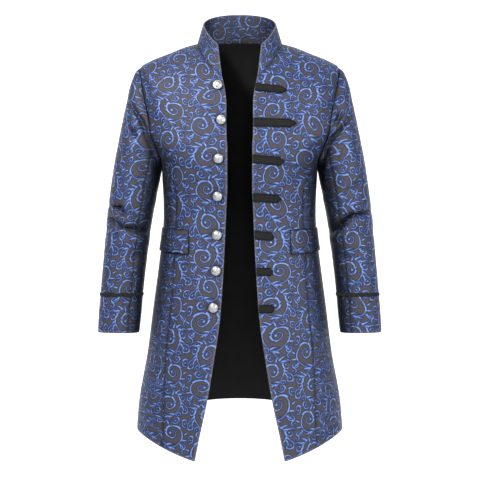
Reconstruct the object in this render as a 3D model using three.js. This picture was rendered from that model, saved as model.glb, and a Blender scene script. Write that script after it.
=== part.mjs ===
// Stand-collar frock coat, filled out as when worn, hanging open at the front.
// Millimetres, +Z up, the front faces -Y and the wearer's left is +X. The origin lies midway
// between the two points where the collar meets the shoulders.
//
// The body is one smooth form, given by the sections below. The panels are stretches of it between
// seams, and each sleeve is a fan of rings from its armhole to the cuff. Every cloth piece is a
// closed wall. Both sides of the coat come from the same tables, the right one mirrored.

import * as THREE from 'three';

// Cloth walls, seams and what lies on the cloth
const CLOTH = 2.0;
const COLLAR_CLOTH = 2.6;
const LINING_CLOTH = 1.2;
const SEAM_GAP = 0.3;
const LIFT = 0.35;
const LINING_LIFT = 0.5;

// Body sections. down: how far the side point lies below the origin; wide: half width;
// front, back: how far the centre front and back stand from the side line; frontDrop, backDrop:
// how much lower they lie than the side point; square: 2 is an ellipse, more is boxier.
const BODY = [
  { down: 0, wide: 97.6, front: 92, frontDrop: 90, back: 66, backDrop: -12, square: 2.3 },
  { down: 9, wide: 128, front: 98, frontDrop: 98, back: 76, backDrop: -4, square: 2.3 },
  { down: 23, wide: 162, front: 104, frontDrop: 108, back: 88, backDrop: 8, square: 2.3 },
  { down: 37, wide: 198, front: 109, frontDrop: 121, back: 98, backDrop: 22, square: 2.35 },
  { down: 55, wide: 227, front: 113, frontDrop: 138, back: 107, backDrop: 40, square: 2.4 },
  { down: 98, wide: 230, front: 119, frontDrop: 130, back: 118, backDrop: 40, square: 2.4 },
  { down: 173, wide: 227, front: 124, frontDrop: 94, back: 125, backDrop: 28, square: 2.4 },
  { down: 240, wide: 199, front: 124, frontDrop: 56, back: 122, backDrop: 16, square: 2.4 },
  { down: 265, wide: 185, front: 123, frontDrop: 42, back: 120, backDrop: 11, square: 2.4 },
  { down: 292, wide: 179, front: 121, frontDrop: 30, back: 117, backDrop: 7, square: 2.35 },
  { down: 322, wide: 177, front: 118, frontDrop: 18, back: 113, backDrop: 4, square: 2.3 },
  { down: 359, wide: 175, front: 115, frontDrop: 8, back: 108, backDrop: 1, square: 2.25 },
  { down: 396, wide: 174.5, front: 113, frontDrop: 1, back: 105, backDrop: 0, square: 2.25 },
  { down: 432, wide: 176.5, front: 115, frontDrop: 1, back: 106, backDrop: 0, square: 2.25 },
  { down: 488, wide: 183, front: 120, frontDrop: 4, back: 112, backDrop: -3, square: 2.25 },
  { down: 598, wide: 198, front: 132, frontDrop: 17, back: 126, backDrop: -16, square: 2.25 },
  { down: 708, wide: 212, front: 145, frontDrop: 33, back: 139, backDrop: -30, square: 2.25 },
  { down: 819, wide: 231, front: 159, frontDrop: 51, back: 152, backDrop: -43, square: 2.25 },
  { down: 883, wide: 236, front: 166, frontDrop: 60, back: 160, backDrop: -49, square: 2.25 },
];
const NECK_DOWN = 0;
const SHOULDER_DOWN = 55;
const UNDERARM_DOWN = 292;
const HEM_DOWN = 883;
// The front hem line is cut up to this much between the side and turn, from this row down
const HEM_LIFT = { high: 7, turn: 160, from: 700 };

// Front edge. low: height below the origin at the edge; half: half of the opening there.
const FRONT_EDGE = [
  { low: 78, half: 43.5 }, { low: 97, half: 36.6 }, { low: 119, half: 32 }, { low: 142, half: 29.8 },
  { low: 208, half: 29.5 }, { low: 240, half: 27.7 }, { low: 341, half: 27.6 }, { low: 363, half: 28.8 },
  { low: 440, half: 32 }, { low: 528, half: 36.4 }, { low: 626, half: 43.5 }, { low: 713, half: 56 },
  { low: 809, half: 72 }, { low: 887, half: 88.5 }, { low: 940, half: 99 },
];

// Side seams, as half widths: low is the height below the origin on the seam
const SIDE_FRONT_SEAM = [
  { low: 262, half: 168 }, { low: 300, half: 150 }, { low: 360, half: 141 }, { low: 480, half: 146 },
  { low: 590, half: 153 }, { low: 700, half: 165 }, { low: 890, half: 170 },
];
const SIDE_BACK_SEAM = [
  { low: 230, half: 172 }, { low: 300, half: 128 }, { low: 396, half: 108 }, { low: 500, half: 118 },
  { low: 700, half: 140 }, { low: 883, half: 156 },
];
const SEAM_EASE = 60;
const SIDE_SPREAD = 0.33;
const EDGE_DROP_SHARE = 0.95;

// Armhole: an oval on the body. Its reach is the share of the section's depth at mid height.
const ARMHOLE_FRONT_REACH = 0.55;
const ARMHOLE_BACK_REACH = 0.55;
const ARMHOLE_STEP = 15;
const ARMHOLE_HOLD = 4;
const ARMHOLE_LIFT = 0.3;
const SIDE_FRONT_AT = 135;
const SIDE_BACK_AT = 120;

// Sleeve rings, from the armhole to the cuff. outX, outLow: the outer point; inX, inLow: the inner
// point; deep: half depth; fore: how far the ring's middle lies in front of the side line.
const SLEEVE = [
  { outX: 227, outLow: 55, inX: 179.4, inLow: 292, deep: 68, fore: 0 },
  { outX: 237, outLow: 62.5, inX: 180.2, inLow: 296, deep: 68.5, fore: 0 },
  { outX: 245, outLow: 79, inX: 181, inLow: 300, deep: 69, fore: 0 },
  { outX: 252.5, outLow: 101, inX: 182, inLow: 305, deep: 69.5, fore: 0 },
  { outX: 260, outLow: 137, inX: 183, inLow: 311, deep: 70, fore: 0 },
  { outX: 268, outLow: 175, inX: 184.5, inLow: 319, deep: 70.5, fore: 1 },
  { outX: 277, outLow: 221, inX: 187, inLow: 331, deep: 71, fore: 2 },
  { outX: 286, outLow: 267, inX: 190, inLow: 344, deep: 70.5, fore: 3 },
  { outX: 293, outLow: 313, inX: 192, inLow: 359, deep: 69, fore: 4 },
  { outX: 299.5, outLow: 362, inX: 196, inLow: 378, deep: 66.5, fore: 6 },
  { outX: 304.5, outLow: 405, inX: 201.5, inLow: 411, deep: 64, fore: 8 },
  { outX: 308, outLow: 450, inX: 207, inLow: 452, deep: 61, fore: 10 },
  { outX: 311, outLow: 490, inX: 212, inLow: 491, deep: 58.5, fore: 13 },
  { outX: 314.5, outLow: 530, inX: 216.5, inLow: 530, deep: 55.5, fore: 16 },
  { outX: 317.5, outLow: 570, inX: 220.5, inLow: 570, deep: 52.5, fore: 19 },
  { outX: 321, outLow: 615, inX: 224, inLow: 615, deep: 49, fore: 23 },
  { outX: 323, outLow: 660, inX: 228.5, inLow: 661, deep: 46, fore: 27 },
];
const SLEEVE_SQUARE = 2.15;
const TOP_SLEEVE_FRONT = 120;
const TOP_SLEEVE_BACK = 105;
const CUFF_BAND = { start: 14.02, end: 14.18, thick: 1.4 };

// Sleeve folds, as strokes on the front view of the sleeve. x, low to toX, toLow; wide: half width
// of the trough or ridge; deep: its depth, less than 0 for a ridge.
const SLEEVE_FOLDS = [
  { x: 250, low: 130, toX: 205, toLow: 205, wide: 11, deep: 4.5 },
  { x: 226, low: 165, toX: 192, toLow: 262, wide: 9, deep: 4 },
  { x: 262, low: 215, toX: 222, toLow: 290, wide: 14, deep: -3 },
  { x: 204, low: 430, toX: 255, toLow: 392, wide: 10, deep: 4.5 },
  { x: 206, low: 455, toX: 270, toLow: 452, wide: 12, deep: -2.5 },
  { x: 212, low: 480, toX: 262, toLow: 500, wide: 11, deep: 3.5 },
  { x: 312, low: 430, toX: 275, toLow: 445, wide: 11, deep: 3.5 },
];
const FOLD_END = 0.5;
const FOLD_WRAP = 0.35;
const FOLD_START = 3;

// Stand collar: the base lies on the body's neck line, the top edge is this section
const COLLAR_TOP = {
  wide: 84, front: 88, frontLow: 27, back: 61, backLow: -77, sideLow: -44, frontHalf: 49.5,
  square: 2.25, frontRise: 1.6, backRise: 1,
};

// Pocket flap: low is the height below the origin at the front end and at the back end
const FLAP = {
  frontHalf: 113.5, backTurn: 72, frontTop: 429, frontBottom: 483, backTop: 419, backBottom: 470,
  thick: 2.2, flare: 1.6,
};

// Frog tabs, on the left front edge. low: height below the origin at the edge; tipX, tipLow: the
// pointed end; wide: full width.
const TABS = [
  { low: 110, tipX: 104.5, tipLow: 117, wide: 17 },
  { low: 190, tipX: 126, tipLow: 192, wide: 18.6 },
  { low: 272, tipX: 99.5, tipLow: 278, wide: 18.6 },
  { low: 357, tipX: 93, tipLow: 360, wide: 18 },
  { low: 440, tipX: 77, tipLow: 444, wide: 18.4 },
  { low: 521, tipX: 73.6, tipLow: 522, wide: 17.2 },
  { low: 603, tipX: 76.9, tipLow: 603, wide: 17 },
];
const TAB_THICK = 2.6;
const TAB_EDGE_INSET = 1;
const TAB_POINT_SHARE = 0.16;
const TAB_POINT_POWER = 0.8;
const TAB_TIP = 0.08;
const TAB_EDGE_SHARE = 0.65;

// Domed shank buttons, on the right front edge. half: distance from the middle; lean: degrees that
// the button's face leans down.
const BUTTONS = [
  { half: 48.8, low: 106.5, lean: 0 },
  { half: 41.1, low: 184.6, lean: 3 },
  { half: 47, low: 271, lean: 5 },
  { half: 48.8, low: 354, lean: 8 },
  { half: 50.2, low: 440, lean: 12 },
  { half: 52.1, low: 519, lean: 12 },
  { half: 57.9, low: 600, lean: 14 },
];
// radius and height above the cloth, from the shank's foot over the rim to the dome's top
const BUTTON_PROFILE = [
  { radius: 2.2, high: 0.95 }, { radius: 2.2, high: 3.2 }, { radius: 9.4, high: 3.6 },
  { radius: 10.5, high: 4.4 }, { radius: 10.2, high: 5.4 }, { radius: 9.0, high: 5.6 },
  { radius: 7.4, high: 6.9 }, { radius: 4.2, high: 8.2 },
];
const BUTTON_TOP = 8.7;
const BUTTON_SIDES = 14;

// Grid steps
const SHOULDER_ROWS = 5;
const LOWER_ROWS = 20;
const FRONT_COLUMNS = 9;
const BACK_COLUMNS = 7;
const COLLAR_ROWS = 3;
const COLLAR_COLUMNS = 36;
const FLAP_ROWS = 3;
const FLAP_COLUMNS = 14;
const TAB_ROWS = 4;
const TAB_COLUMNS = 8;

const SHOULDER_SPACING = 1.25;
const LINING_NECK_SHARE = 0.25;

const DEGREE = Math.PI / 180;
const SMALL = 0.5;
const NEAR_ZERO = 0.001;
const HALVINGS = 22;

const mix = (a, b, share) => a + (b - a) * share;
const clamp = (value) => Math.min(1, Math.max(0, value));
const ease = (value) => clamp(value) ** 2 * (3 - 2 * clamp(value));

// Smooth reading of a table without overshoot (monotone cubic)
function read(table, key, at, by) {
  const last = table.length - 1;
  if (at <= table[0][by]) return table[0][key];
  if (at >= table[last][by]) return table[last][key];
  let i = 0;
  while (at > table[i + 1][by]) i += 1;
  const slope = (k) => (table[k + 1][key] - table[k][key]) / (table[k + 1][by] - table[k][by]);
  const tangent = (k) => {
    if (k === 0) return slope(0);
    if (k === last) return slope(last - 1);
    const before = slope(k - 1);
    const after = slope(k);
    return before * after <= 0 ? 0 : (2 * before * after) / (before + after);
  };
  const step = table[i + 1][by] - table[i][by];
  const t = (at - table[i][by]) / step;
  const startPart = (1 + 2 * t) * (1 - t) ** 2 * table[i][key] + t * (1 - t) ** 2 * step * tangent(i);
  const endPart = t * t * (3 - 2 * t) * table[i + 1][key] + t * t * (t - 1) * step * tangent(i + 1);
  return startPart + endPart;
}

function section(down) {
  const of = (key) => read(BODY, key, down, 'down');
  return {
    wide: of('wide'), front: of('front'), frontDrop: of('frontDrop'),
    back: of('back'), backDrop: of('backDrop'), square: of('square'),
  };
}

// Point of the body's left half. turn: 0 at the centre back, 90 at the side, 180 at the centre front
function bodyPoint(down, turn) {
  const s = section(down);
  const power = 2 / s.square;
  const cosine = Math.cos(turn * DEGREE);
  const reach = Math.abs(cosine) ** power;
  const sine = Math.sin(turn * DEGREE);
  const x = s.wide * Math.sign(sine) * Math.abs(sine) ** power;
  const y = cosine > 0 ? s.back * reach : -s.front * reach;
  const drop = (cosine > 0 ? s.backDrop : s.frontDrop) * reach * reach;
  return new THREE.Vector3(x, y, -(down + drop));
}

function bodyNormal(down, turn) {
  const alongTurn = bodyPoint(down, turn + SMALL).sub(bodyPoint(down, turn - SMALL));
  const alongDown = bodyPoint(down + SMALL, turn).sub(bodyPoint(down - SMALL, turn));
  return alongTurn.cross(alongDown).normalize();
}

const frontTurn = (down, half) => {
  const s = section(down);
  return 180 - Math.asin(clamp(half / s.wide) ** (s.square / 2)) / DEGREE;
};
const backTurn = (down, half) => 180 - frontTurn(down, half);

const frontEdgeTurn = (down) => {
  const s = section(down);
  return frontTurn(down, read(FRONT_EDGE, 'half', down + EDGE_DROP_SHARE * s.frontDrop, 'low'));
};

// The place (down, turn) on the body at a given height, found by halving
function placeAtHeight(low, turnOf) {
  let above = NECK_DOWN;
  let below = HEM_DOWN;
  for (let i = 0; i < HALVINGS; i += 1) {
    const middle = (above + below) / 2;
    if (-bodyPoint(middle, turnOf(middle)).z < low) above = middle;
    else below = middle;
  }
  return { down: above, turn: turnOf(above) };
}
const placeOnFront = (half, low) => placeAtHeight(low, (down) => frontTurn(down, half));

// Armhole oval. around: 0 at the shoulder, 180 at the underarm, less than 0 on the back half
function armholePlace(around) {
  const down = mix(SHOULDER_DOWN, UNDERARM_DOWN, (1 - Math.cos(around * DEGREE)) / 2);
  const reach = Math.abs(Math.sin(around * DEGREE));
  const share = reach * (around > 0 ? ARMHOLE_FRONT_REACH : ARMHOLE_BACK_REACH);
  const angle = Math.acos(clamp(share) ** (section(down).square / 2)) / DEGREE;
  return { down, turn: around > 0 ? 180 - angle : angle };
}

function seamTurn(down, around, table, turnFor) {
  const top = armholePlace(around);
  const free = turnFor(down, read(table, 'half', down, 'low'));
  return mix(top.turn, free, ease((down - top.down) / SEAM_EASE));
}
const sideFrontTurn = (down) => seamTurn(down, SIDE_FRONT_AT, SIDE_FRONT_SEAM, frontTurn);
const sideBackTurn = (down) => seamTurn(down, -SIDE_BACK_AT, SIDE_BACK_SEAM, backTurn);

// A sheet is a grid of points with the outward normals there, as lists of rows. Seen from outside,
// rows run down and columns run to the right. A ring sheet closes on itself.
const gridOf = (rows, columns, valueAt) => Array.from({ length: rows + 1 }, (_, i) => (
  Array.from({ length: columns + 1 }, (__, j) => valueAt(i, j))
));

function gridNormals(points, ring) {
  const rows = points.length;
  const columns = points[0].length;
  const column = (j) => (ring ? (j + columns) % columns : Math.min(columns - 1, Math.max(0, j)));
  return points.map((row, i) => row.map((_, j) => {
    const right = points[i][column(j + 1)].clone().sub(points[i][column(j - 1)]);
    const lower = points[Math.min(rows - 1, i + 1)][j].clone().sub(points[Math.max(0, i - 1)][j]);
    return lower.cross(right).normalize();
  }));
}
const sheetOf = (points, ring = false) => ({ points, normals: gridNormals(points, ring), ring });

// A sheet on the body, from the places (down, turn) of its grid
const bodySheet = (places) => ({
  points: places.map((row) => row.map(({ down, turn }) => bodyPoint(down, turn))),
  normals: places.map((row) => row.map(({ down, turn }) => bodyNormal(down, turn))),
  ring: false,
});

const mirroredRows = (rows) => rows.map((row) => (
  row.map((v) => new THREE.Vector3(-v.x, v.y, v.z)).reverse()
));
const mirrored = (sheet) => ({
  points: mirroredRows(sheet.points), normals: mirroredRows(sheet.normals), ring: sheet.ring,
});

const movedOut = (sheet, distance) => ({
  ...sheet,
  points: sheet.points.map((row, i) => (
    row.map((p, j) => p.clone().addScaledVector(sheet.normals[i][j], distance))
  )),
});

// Pulls the named borders of a panel back by half of the seam gap, square to the border
function withSeams(sheet, borders) {
  const { points, normals } = sheet;
  const lastRow = points.length - 1;
  const lastColumn = points[0].length - 1;
  const along = (i, j, di, dj) => {
    const before = points[Math.max(0, i - di)][Math.max(0, j - dj)];
    const after = points[Math.min(lastRow, i + di)][Math.min(lastColumn, j + dj)];
    return after.clone().sub(before);
  };
  const sides = {
    top: { on: (i) => i === 0, di: 0, dj: 1, sign: 1 },
    bottom: { on: (i) => i === lastRow, di: 0, dj: 1, sign: -1 },
    left: { on: (i, j) => j === 0, di: 1, dj: 0, sign: -1 },
    right: { on: (i, j) => j === lastColumn, di: 1, dj: 0, sign: 1 },
  };
  const seamed = points.map((row, i) => row.map((p, j) => {
    const moved = p.clone();
    for (const name of borders) {
      const side = sides[name];
      if (side.on(i, j)) {
        const inward = along(i, j, side.di, side.dj).cross(normals[i][j]).normalize();
        moved.addScaledVector(inward, (side.sign * SEAM_GAP) / 2);
      }
    }
    return moved;
  }));
  return { ...sheet, points: seamed };
}

// Closed wall between an outer sheet and an inner one
function wallBetween(outerSheet, innerSheet) {
  const outer = outerSheet.points;
  const inner = innerSheet.points;
  const rows = outer.length;
  const columns = outer[0].length;
  const positions = [...outer.flat(), ...inner.flat()].flatMap((p) => [p.x, p.y, p.z]);
  const index = [];
  const id = (layer, i, j) => layer * rows * columns + i * columns + (j % columns);
  const quad = (a, b, c, d) => index.push(a, b, c, a, c, d);
  const lastRow = rows - 1;
  const lastColumn = columns - 1;
  for (let j = 0; j < (outerSheet.ring ? columns : lastColumn); j += 1) {
    for (let i = 0; i < lastRow; i += 1) {
      quad(id(0, i, j), id(0, i + 1, j), id(0, i + 1, j + 1), id(0, i, j + 1));
      quad(id(1, i, j), id(1, i, j + 1), id(1, i + 1, j + 1), id(1, i + 1, j));
    }
    quad(id(0, 0, j), id(0, 0, j + 1), id(1, 0, j + 1), id(1, 0, j));
    quad(id(0, lastRow, j), id(1, lastRow, j), id(1, lastRow, j + 1), id(0, lastRow, j + 1));
  }
  if (!outerSheet.ring) {
    for (let i = 0; i < lastRow; i += 1) {
      quad(id(0, i, 0), id(1, i, 0), id(1, i + 1, 0), id(0, i + 1, 0));
      quad(id(0, i, lastColumn), id(0, i + 1, lastColumn), id(1, i + 1, lastColumn), id(1, i, lastColumn));
    }
  }
  const geometry = new THREE.BufferGeometry();
  geometry.setAttribute('position', new THREE.Float32BufferAttribute(positions, 3));
  geometry.setIndex(index);
  geometry.computeVertexNormals();
  return geometry;
}
const wall = (sheet, thick) => wallBetween(sheet, movedOut(sheet, -thick));

// Rows of the body: over the shoulder, beside the armhole, and from there to the hem
const shoulderDowns = Array.from({ length: SHOULDER_ROWS + 1 }, (_, i) => (
  mix(NECK_DOWN, SHOULDER_DOWN, (i / SHOULDER_ROWS) ** SHOULDER_SPACING)
));
function panelRows(seamAt, side, lowerTurn) {
  const upper = shoulderDowns.slice(0, -1).map((down) => ({ down, turn: 90 }));
  const beside = [];
  for (let around = 0; around < seamAt; around += ARMHOLE_STEP) beside.push(armholePlace(side * around));
  beside[0].turn = 90;
  const top = armholePlace(side * seamAt);
  const lower = Array.from({ length: LOWER_ROWS + 1 }, (_, i) => {
    const down = mix(top.down, HEM_DOWN, i / LOWER_ROWS);
    return { down, turn: lowerTurn(down) };
  });
  return [...upper, ...beside, ...lower];
}
// Ends the rows at the hem line; turnOf gives a column's turn at a height
function cutToHem(down, turnOf) {
  const bow = Math.sin(Math.PI * clamp((turnOf(down) - 90) / (HEM_LIFT.turn - 90)));
  const cut = down - HEM_LIFT.high * bow * ease((down - HEM_LIFT.from) / (HEM_DOWN - HEM_LIFT.from));
  return { down: cut, turn: turnOf(cut) };
}
const frontRows = panelRows(SIDE_FRONT_AT, 1, sideFrontTurn);
const backRows = panelRows(SIDE_BACK_AT, -1, sideBackTurn);

// Left front: columns run from the front edge to the side
const frontSheet = bodySheet(gridOf(frontRows.length - 1, FRONT_COLUMNS, (i, j) => {
  const { down, turn } = frontRows[i];
  const seam = (d) => (down > HEM_LIFT.from ? sideFrontTurn(d) : turn);
  return cutToHem(down, (d) => mix(frontEdgeTurn(d), seam(d), j / FRONT_COLUMNS));
}));

// Left back: columns run from the side to the centre back
const backSheet = bodySheet(gridOf(backRows.length - 1, BACK_COLUMNS, (i, j) => {
  const { down, turn } = backRows[i];
  return { down, turn: mix(turn, 0, j / BACK_COLUMNS) };
}));

// Left side body: its top edge is the low part of the armhole
const sideTop = [];
for (let around = SIDE_FRONT_AT; around <= 180; around += ARMHOLE_STEP) sideTop.push(armholePlace(around));
for (let around = 180 - ARMHOLE_STEP; around >= SIDE_BACK_AT; around -= ARMHOLE_STEP) {
  sideTop.push(armholePlace(-around));
}
const SIDE_COLUMNS = sideTop.length - 1;
const sideSheet = bodySheet(gridOf(LOWER_ROWS, SIDE_COLUMNS, (i, j) => {
  const fall = i / LOWER_ROWS;
  const top = sideTop[j];
  const down = mix(top.down, HEM_DOWN, fall);
  const start = sideFrontTurn(top.down);
  const startShare = (top.turn - start) / (sideBackTurn(top.down) - start);
  const share = mix(clamp(startShare), j / SIDE_COLUMNS, ease(fall / SIDE_SPREAD));
  return cutToHem(down, (d) => mix(sideFrontTurn(d), sideBackTurn(d), share));
}));

// Sleeve. along: place in the ring table; around: as on the armhole
function sleeveRing(along) {
  const rows = SLEEVE.map((ring, at) => ({ ...ring, at }));
  const of = (key) => read(rows, key, along, 'at');
  return {
    outX: of('outX'),
    outLow: of('outLow'),
    inX: of('inX'),
    inLow: of('inLow'),
    deep: of('deep'),
    fore: of('fore'),
  };
}
function ringPoint(ring, around) {
  const power = 2 / SLEEVE_SQUARE;
  const cosine = Math.cos(around * DEGREE);
  const sine = Math.sin(around * DEGREE);
  const across = Math.sign(cosine) * Math.abs(cosine) ** power;
  const depth = Math.sign(sine) * Math.abs(sine) ** power;
  const share = (1 + across) / 2;
  return new THREE.Vector3(
    mix(ring.inX, ring.outX, share),
    -ring.fore - ring.deep * depth,
    -mix(ring.inLow, ring.outLow, share),
  );
}
function foldDepth(point, frontness) {
  let depth = 0;
  for (const fold of SLEEVE_FOLDS) {
    const run = new THREE.Vector2(fold.toX - fold.x, fold.toLow - fold.low);
    const offset = new THREE.Vector2(point.x - fold.x, -point.z - fold.low);
    const share = clamp(offset.dot(run) / run.lengthSq());
    const distance = offset.addScaledVector(run, -share).length();
    const fade = FOLD_END + (1 - FOLD_END) * Math.sin(Math.PI * share);
    depth += fold.deep * fade * Math.exp(-((distance / fold.wide) ** 2));
  }
  return depth * ease(frontness + FOLD_WRAP);
}
function sleevePoint(along, around) {
  const point = ringPoint(sleeveRing(along), around);
  const place = armholePlace(around || NEAR_ZERO);
  const seam = bodyPoint(place.down, place.turn);
  const start = ringPoint(sleeveRing(0), around);
  point.addScaledVector(seam.sub(start), 1 - ease(along / ARMHOLE_HOLD));
  const valley = (1 - Math.cos(around * DEGREE)) / 2;
  const outward = bodyNormal(place.down, place.turn);
  point.addScaledVector(outward, SEAM_GAP * (ARMHOLE_LIFT + valley) * (1 - ease(along / ARMHOLE_HOLD)));
  const depth = foldDepth(point, Math.sin(around * DEGREE)) * ease(along / FOLD_START);
  const ring = sleeveRing(along);
  const centre = new THREE.Vector3((ring.inX + ring.outX) / 2, -ring.fore, -(ring.inLow + ring.outLow) / 2);
  return point.addScaledVector(centre.sub(point).normalize(), depth);
}

// Columns run from the front of the left sleeve over the outside to the back, or back by the inside
const sleeveRings = sheetOf(gridOf(SLEEVE.length - 1, 360 / ARMHOLE_STEP - 1, (i, j) => (
  sleevePoint(i, 180 - j * ARMHOLE_STEP)
)), true);
function sleeveStretch(from, to) {
  const columns = sleeveRings.points[0].length;
  const first = Math.round((180 - from) / ARMHOLE_STEP);
  const count = Math.round((from - to) / ARMHOLE_STEP);
  const pick = (rows) => rows.map((row) => (
    Array.from({ length: count + 1 }, (_, j) => row[(first + j) % columns])
  ));
  return { points: pick(sleeveRings.points), normals: pick(sleeveRings.normals), ring: false };
}
const topSleeveSheet = sleeveStretch(TOP_SLEEVE_FRONT, -TOP_SLEEVE_BACK);
const underSleeveSheet = sleeveStretch(-TOP_SLEEVE_BACK, TOP_SLEEVE_FRONT - 360);

const cuffBandSheet = sheetOf(gridOf(1, 360 / ARMHOLE_STEP - 1, (i, j) => (
  sleevePoint(i === 0 ? CUFF_BAND.start : CUFF_BAND.end, 180 - j * ARMHOLE_STEP)
)), true);

// Collar: columns run all round the neck from the left front edge over the back to the right one
function collarTopPoint(turn, edgeTurn) {
  const t = COLLAR_TOP;
  const power = 2 / t.square;
  const topEdgeTurn = 180 - Math.asin((t.frontHalf / t.wide) ** (t.square / 2)) / DEGREE;
  const topTurn = (turn / edgeTurn) * topEdgeTurn;
  const cosine = Math.cos(topTurn * DEGREE);
  const reach = Math.abs(cosine) ** power;
  const x = t.wide * Math.abs(Math.sin(topTurn * DEGREE)) ** power;
  const y = cosine > 0 ? t.back * reach : -t.front * reach;
  const low = cosine > 0
    ? mix(t.sideLow, t.backLow, reach ** t.backRise)
    : mix(t.sideLow, t.frontLow, reach ** t.frontRise);
  return new THREE.Vector3(x, y, -low);
}
const collarSheet = sheetOf(gridOf(COLLAR_ROWS, COLLAR_COLUMNS, (i, j) => {
  const side = 1 - (2 * j) / COLLAR_COLUMNS;
  const edgeTurn = frontEdgeTurn(NECK_DOWN);
  const turn = Math.abs(side) * edgeTurn;
  const base = bodyPoint(NECK_DOWN, turn);
  base.z += SEAM_GAP;
  const point = collarTopPoint(turn, edgeTurn).lerp(base, i / COLLAR_ROWS);
  return new THREE.Vector3(Math.sign(side) * point.x, point.y, point.z);
}));

// Back lining, on the inside of both back panels
const joinedBack = (rows, mirroredPart) => {
  const joined = rows.map((row, i) => [...row, ...mirroredPart[i].slice(1)]);
  joined[0] = joined[0].map((v, j) => v.clone().lerp(joined[1][j], LINING_NECK_SHARE));
  return joined;
};
const rightBack = mirrored(backSheet);
const liningSheet = {
  points: joinedBack(backSheet.points, rightBack.points),
  normals: joinedBack(backSheet.normals, rightBack.normals),
  ring: false,
};

// Pocket flap, on the front and side body of the left side
const flapSheet = bodySheet(gridOf(FLAP_ROWS, FLAP_COLUMNS, (i, j) => {
  const run = j / FLAP_COLUMNS;
  const top = mix(FLAP.frontTop, FLAP.backTop, run);
  const bottom = mix(FLAP.frontBottom, FLAP.backBottom, run);
  const low = mix(top, bottom, i / FLAP_ROWS);
  const start = placeOnFront(FLAP.frontHalf, low).turn;
  return placeAtHeight(low, () => mix(start, FLAP.backTurn, run));
}));
const raisedFlap = (base) => ({
  ...flapSheet,
  points: flapSheet.points.map((row, i) => row.map((p, j) => (
    p.clone().addScaledVector(flapSheet.normals[i][j], base + (FLAP.flare * i) / FLAP_ROWS)
  ))),
});

// Frog tab: columns run from the front edge to the pointed end
function tabSheet(tab) {
  const edge = read(FRONT_EDGE, 'half', tab.low, 'low') + TAB_EDGE_INSET;
  return bodySheet(gridOf(TAB_ROWS, TAB_COLUMNS, (i, j) => {
    const run = j / TAB_COLUMNS;
    const toTip = clamp((1 - run) / TAB_POINT_SHARE);
    const half = (tab.wide / 2) * Math.max(TAB_TIP, toTip ** TAB_POINT_POWER);
    const low = mix(tab.low, tab.tipLow, run) + mix(-half, half, i / TAB_ROWS);
    return placeOnFront(mix(edge, tab.tipX, run), low);
  }));
}
function raisedTab(sheet) {
  const rise = (i) => LIFT + TAB_THICK * mix(1, TAB_EDGE_SHARE, (2 * (i / TAB_ROWS) - 1) ** 2);
  const points = sheet.points.map((row, i) => (
    row.map((p, j) => p.clone().addScaledVector(sheet.normals[i][j], rise(i)))
  ));
  return { ...sheet, points };
}

// Button: a closed turned solid that stands on the right front
function buttonGeometry() {
  const points = [new THREE.Vector2(0, BUTTON_PROFILE[0].high)];
  for (const step of BUTTON_PROFILE) points.push(new THREE.Vector2(step.radius, step.high));
  points.push(new THREE.Vector2(0, BUTTON_TOP));
  return new THREE.LatheGeometry(points, BUTTON_SIDES);
}

// Materials
const material = (name, look) => new THREE.MeshStandardMaterial({ name, ...look });
const jacquard = () => material('jacquard', { color: 0x46506b, roughness: 0.55, metalness: 0.05 });
const blackSatin = () => material('lining', { color: 0x131314, roughness: 0.5 });
const blackBraid = () => material('braid', { color: 0x2b2d2f, roughness: 0.85 });
const silver = () => material('silver', { color: 0xc9ccd2, roughness: 0.28, metalness: 1 });

const coat = new THREE.Group();
coat.name = 'frock_coat';
function add(name, geometry, look) {
  const mesh = new THREE.Mesh(geometry, look);
  mesh.name = name;
  coat.add(mesh);
  return mesh;
}

// One cloth piece on each side, from the left side's sheet
function addPair(name, sheet, thick = CLOTH) {
  add(`${name}_left`, wall(sheet, thick), jacquard());
  add(`${name}_right`, wall(mirrored(sheet), thick), jacquard());
}

function addBody() {
  addPair('front', withSeams(frontSheet, ['top', 'right']));
  addPair('side_body', withSeams(sideSheet, ['top', 'left', 'right']));
  addPair('back', withSeams(backSheet, ['top', 'left', 'right']));
  add('lining_back', wall(movedOut(liningSheet, -(CLOTH + LINING_LIFT)), LINING_CLOTH), blackSatin());
}

function addSleeves() {
  addPair('sleeve_top', withSeams(topSleeveSheet, ['left', 'right']));
  addPair('sleeve_under', withSeams(underSleeveSheet, ['left', 'right']));
  const band = movedOut(cuffBandSheet, LIFT + CUFF_BAND.thick);
  add('cuff_braid_left', wall(band, CUFF_BAND.thick), blackBraid());
  add('cuff_braid_right', wall(mirrored(band), CUFF_BAND.thick), blackBraid());
}

function addCollar() {
  add('collar', wall(collarSheet, COLLAR_CLOTH), jacquard());
}

function addFlaps() {
  const geometry = (side) => wallBetween(side(raisedFlap(LIFT + FLAP.thick)), side(raisedFlap(LIFT)));
  add('pocket_flap_left', geometry((sheet) => sheet), jacquard());
  add('pocket_flap_right', geometry(mirrored), jacquard());
}

function addTabs() {
  TABS.forEach((tab, i) => {
    const sheet = tabSheet(tab);
    add(`frog_tab_${i + 1}`, wallBetween(raisedTab(sheet), movedOut(sheet, LIFT)), blackBraid());
  });
}

function addButtons() {
  BUTTONS.forEach((button, i) => {
    const place = placeOnFront(button.half, button.low);
    const point = bodyPoint(place.down, place.turn);
    const outward = bodyNormal(place.down, place.turn);
    outward.z -= Math.tan(button.lean * DEGREE);
    outward.normalize();
    const mesh = add(`button_${i + 1}`, buttonGeometry(), silver());
    mesh.position.set(-point.x, point.y, point.z);
    const facing = new THREE.Vector3(-outward.x, outward.y, outward.z);
    mesh.quaternion.setFromUnitVectors(new THREE.Vector3(0, 1, 0), facing);
  });
}

addBody();
addSleeves();
addCollar();
addFlaps();
addTabs();
addButtons();

export default coat;
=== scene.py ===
"""Stand-collar frock coat: cloth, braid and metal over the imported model, with camera and light."""

import math

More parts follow.
